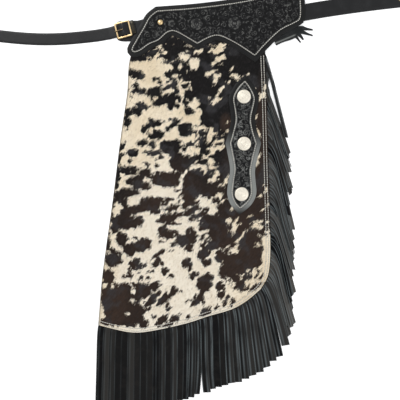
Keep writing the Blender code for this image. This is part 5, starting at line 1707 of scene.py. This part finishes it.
# Hip tie as it shows: x, y, corner, anticlockwise from the strip's hidden lower end
HIP_TIE = (
    (0.55, 0.347, 1), (0.566, 0.3545, 0), (0.585, 0.3605, 0), (0.5965, 0.3655, 1), (0.601, 0.361, 0),
    (0.6075, 0.3535, 1), (0.6105, 0.3555, 1), (0.605, 0.3635, 0), (0.602, 0.3705, 1), (0.6085, 0.3655, 0),
    (0.6145, 0.3595, 1), (0.617, 0.362, 1), (0.613, 0.3705, 0), (0.6095, 0.3755, 1), (0.619, 0.3735, 0),
    (0.638, 0.3695, 1), (0.6385, 0.373, 1), (0.625, 0.3785, 0), (0.617, 0.3835, 1), (0.628, 0.3835, 0),
    (0.6385, 0.383, 1), (0.638, 0.387, 1), (0.624, 0.3905, 0), (0.615, 0.3945, 1), (0.592, 0.3935, 1),
    (0.568, 0.3815, 0), (0.544, 0.362, 1),
)


def make_hip_ties():
    verts, faces = sheet_plate(closed_outline(HIP_TIE), STRAP, 0.0016, edge=0.0006, relief=hip_tie_folds)
    across = (verts[:, 0] - 0.573) * -0.42 + (verts[:, 1] - 0.3630)
    lit = np.exp(-((across / 0.0016) ** 2)) * eased((0.600 - verts[:, 0]) / 0.008) * 0.8
    verts = verts + (0, 0, UNDER_YOKE_Z + STRAP / 2)
    pieces = add_pair("hip_tie", verts, faces, TIE_LEATHER, "black_leather", values={"lit": lit})
    return pieces, shoelace(closed_outline(HIP_TIE))


def hip_tie_folds(flat, gaps):
    """Soft lengthwise folds of the strip, and crowned strings."""
    across = (flat[:, 0] - 0.58) * -0.42 + (flat[:, 1] - 0.362)
    strip = 0.0004 * np.sin(across * 1300) * eased((0.602 - flat[:, 0]) / 0.01)
    return strip * eased(gaps / 0.002) - 0.0004


def shoelace(outline):
    return abs(sum(a.x * b.y - b.x * a.y for a, b in zip(outline, outline[1:] + outline[:1]))) / 2


# Build
legs = [make_leg("left", drawn_hide, HIDE_LEFT), make_leg("right", hidden_hide, HIDE_RIGHT)]
hidden = [outset(outline, BORDER - 0.002) for outline in (closed_outline(YOKE_PANEL), overlay_shape())]
furs = [make_fur("left", drawn_hide, HIDE_LEFT, hidden), make_fur("right", hidden_hide, HIDE_RIGHT, hidden)]
verts, faces, tone, highlight_and_wear = make_fringe()
fringes = add_pair("fringe", verts, faces, SUEDE, "suede", values={"tone": tone, "highlight_and_wear": highlight_and_wear})
for piece in fringes:
    recalculate(piece)
yoke_outline = make_yokes()
overlay_outline = make_overlays()
stitching = make_stitches(yoke_outline, overlay_outline)
make_ornaments()
front_strap, front_length = make_front_strap()
buckle, chape_length = make_buckle()
leg_straps, leg_strap_length = make_leg_straps()
back_straps, back_length = make_back_straps()
hip_ties, tie_area = make_hip_ties()


shoelace(closed_outline(SAFE))


# Stage, light and camera
CAMERA_AT, CAMERA_WIDTH, LENS, SENSOR = (0.3672, -0.0087), 0.960, 85, 36
CAMERA_HEIGHT = CAMERA_WIDTH * LENS / SENSOR + 0.006

floor_mesh = bpy.data.meshes.new("floor")
floor_mesh.from_pydata([(-9, -9, 0), (9, -9, 0), (9, 9, 0), (-9, 9, 0)], [], [(0, 1, 2, 3)])
floor = bpy.data.objects.new("floor", floor_mesh)
bpy.context.scene.collection.objects.link(floor)
paper = Look("paper_look", Roughness=0.9, Base_Color=(0.82, 0.82, 0.82, 1), Specular_IOR_Level=0.0)
paper.give(paper.shader, {"Emission_Color": (1, 1, 1, 1), "Emission_Strength": 0.45})
floor_mesh.materials.append(paper.made)

# Lights: name, x, y, z, size, watts
LIGHTS = (
    ("key", -0.9, 1.5, 1.9, 1.1, 34), ("fill", 1.9, -0.7, 1.7, 1.6, 20),
)
for name, x, y, z, size, watts in LIGHTS:
    data = bpy.data.lights.new(name, "AREA")
    data.shape, data.size, data.energy = "SQUARE", size, watts
    lamp = bpy.data.objects.new(name, data)
    lamp.location = (x, y, z)
    lamp.rotation_euler = (Vector((0.35, 0, 0)) - Vector((x, y, z))).to_track_quat("-Z", "Y").to_euler()
    bpy.context.scene.collection.objects.link(lamp)
world = bpy.data.worlds.new("studio")
world.use_nodes = True
world.node_tree.nodes["Background"].inputs[0].default_value = (0.96, 0.98, 1.0, 1)
world.node_tree.nodes["Background"].inputs[1].default_value = 0.62
bpy.context.scene.world = world
bpy.context.scene.view_settings.view_transform = "Standard"
bpy.context.scene.view_settings.look = "None"

camera_data = bpy.data.cameras.new("camera")
camera_data.lens, camera_data.sensor_width = LENS, SENSOR
camera = bpy.data.objects.new("camera", camera_data)
camera.location = (*CAMERA_AT, CAMERA_HEIGHT)
bpy.context.scene.collection.objects.link(camera)
bpy.context.scene.camera = camera
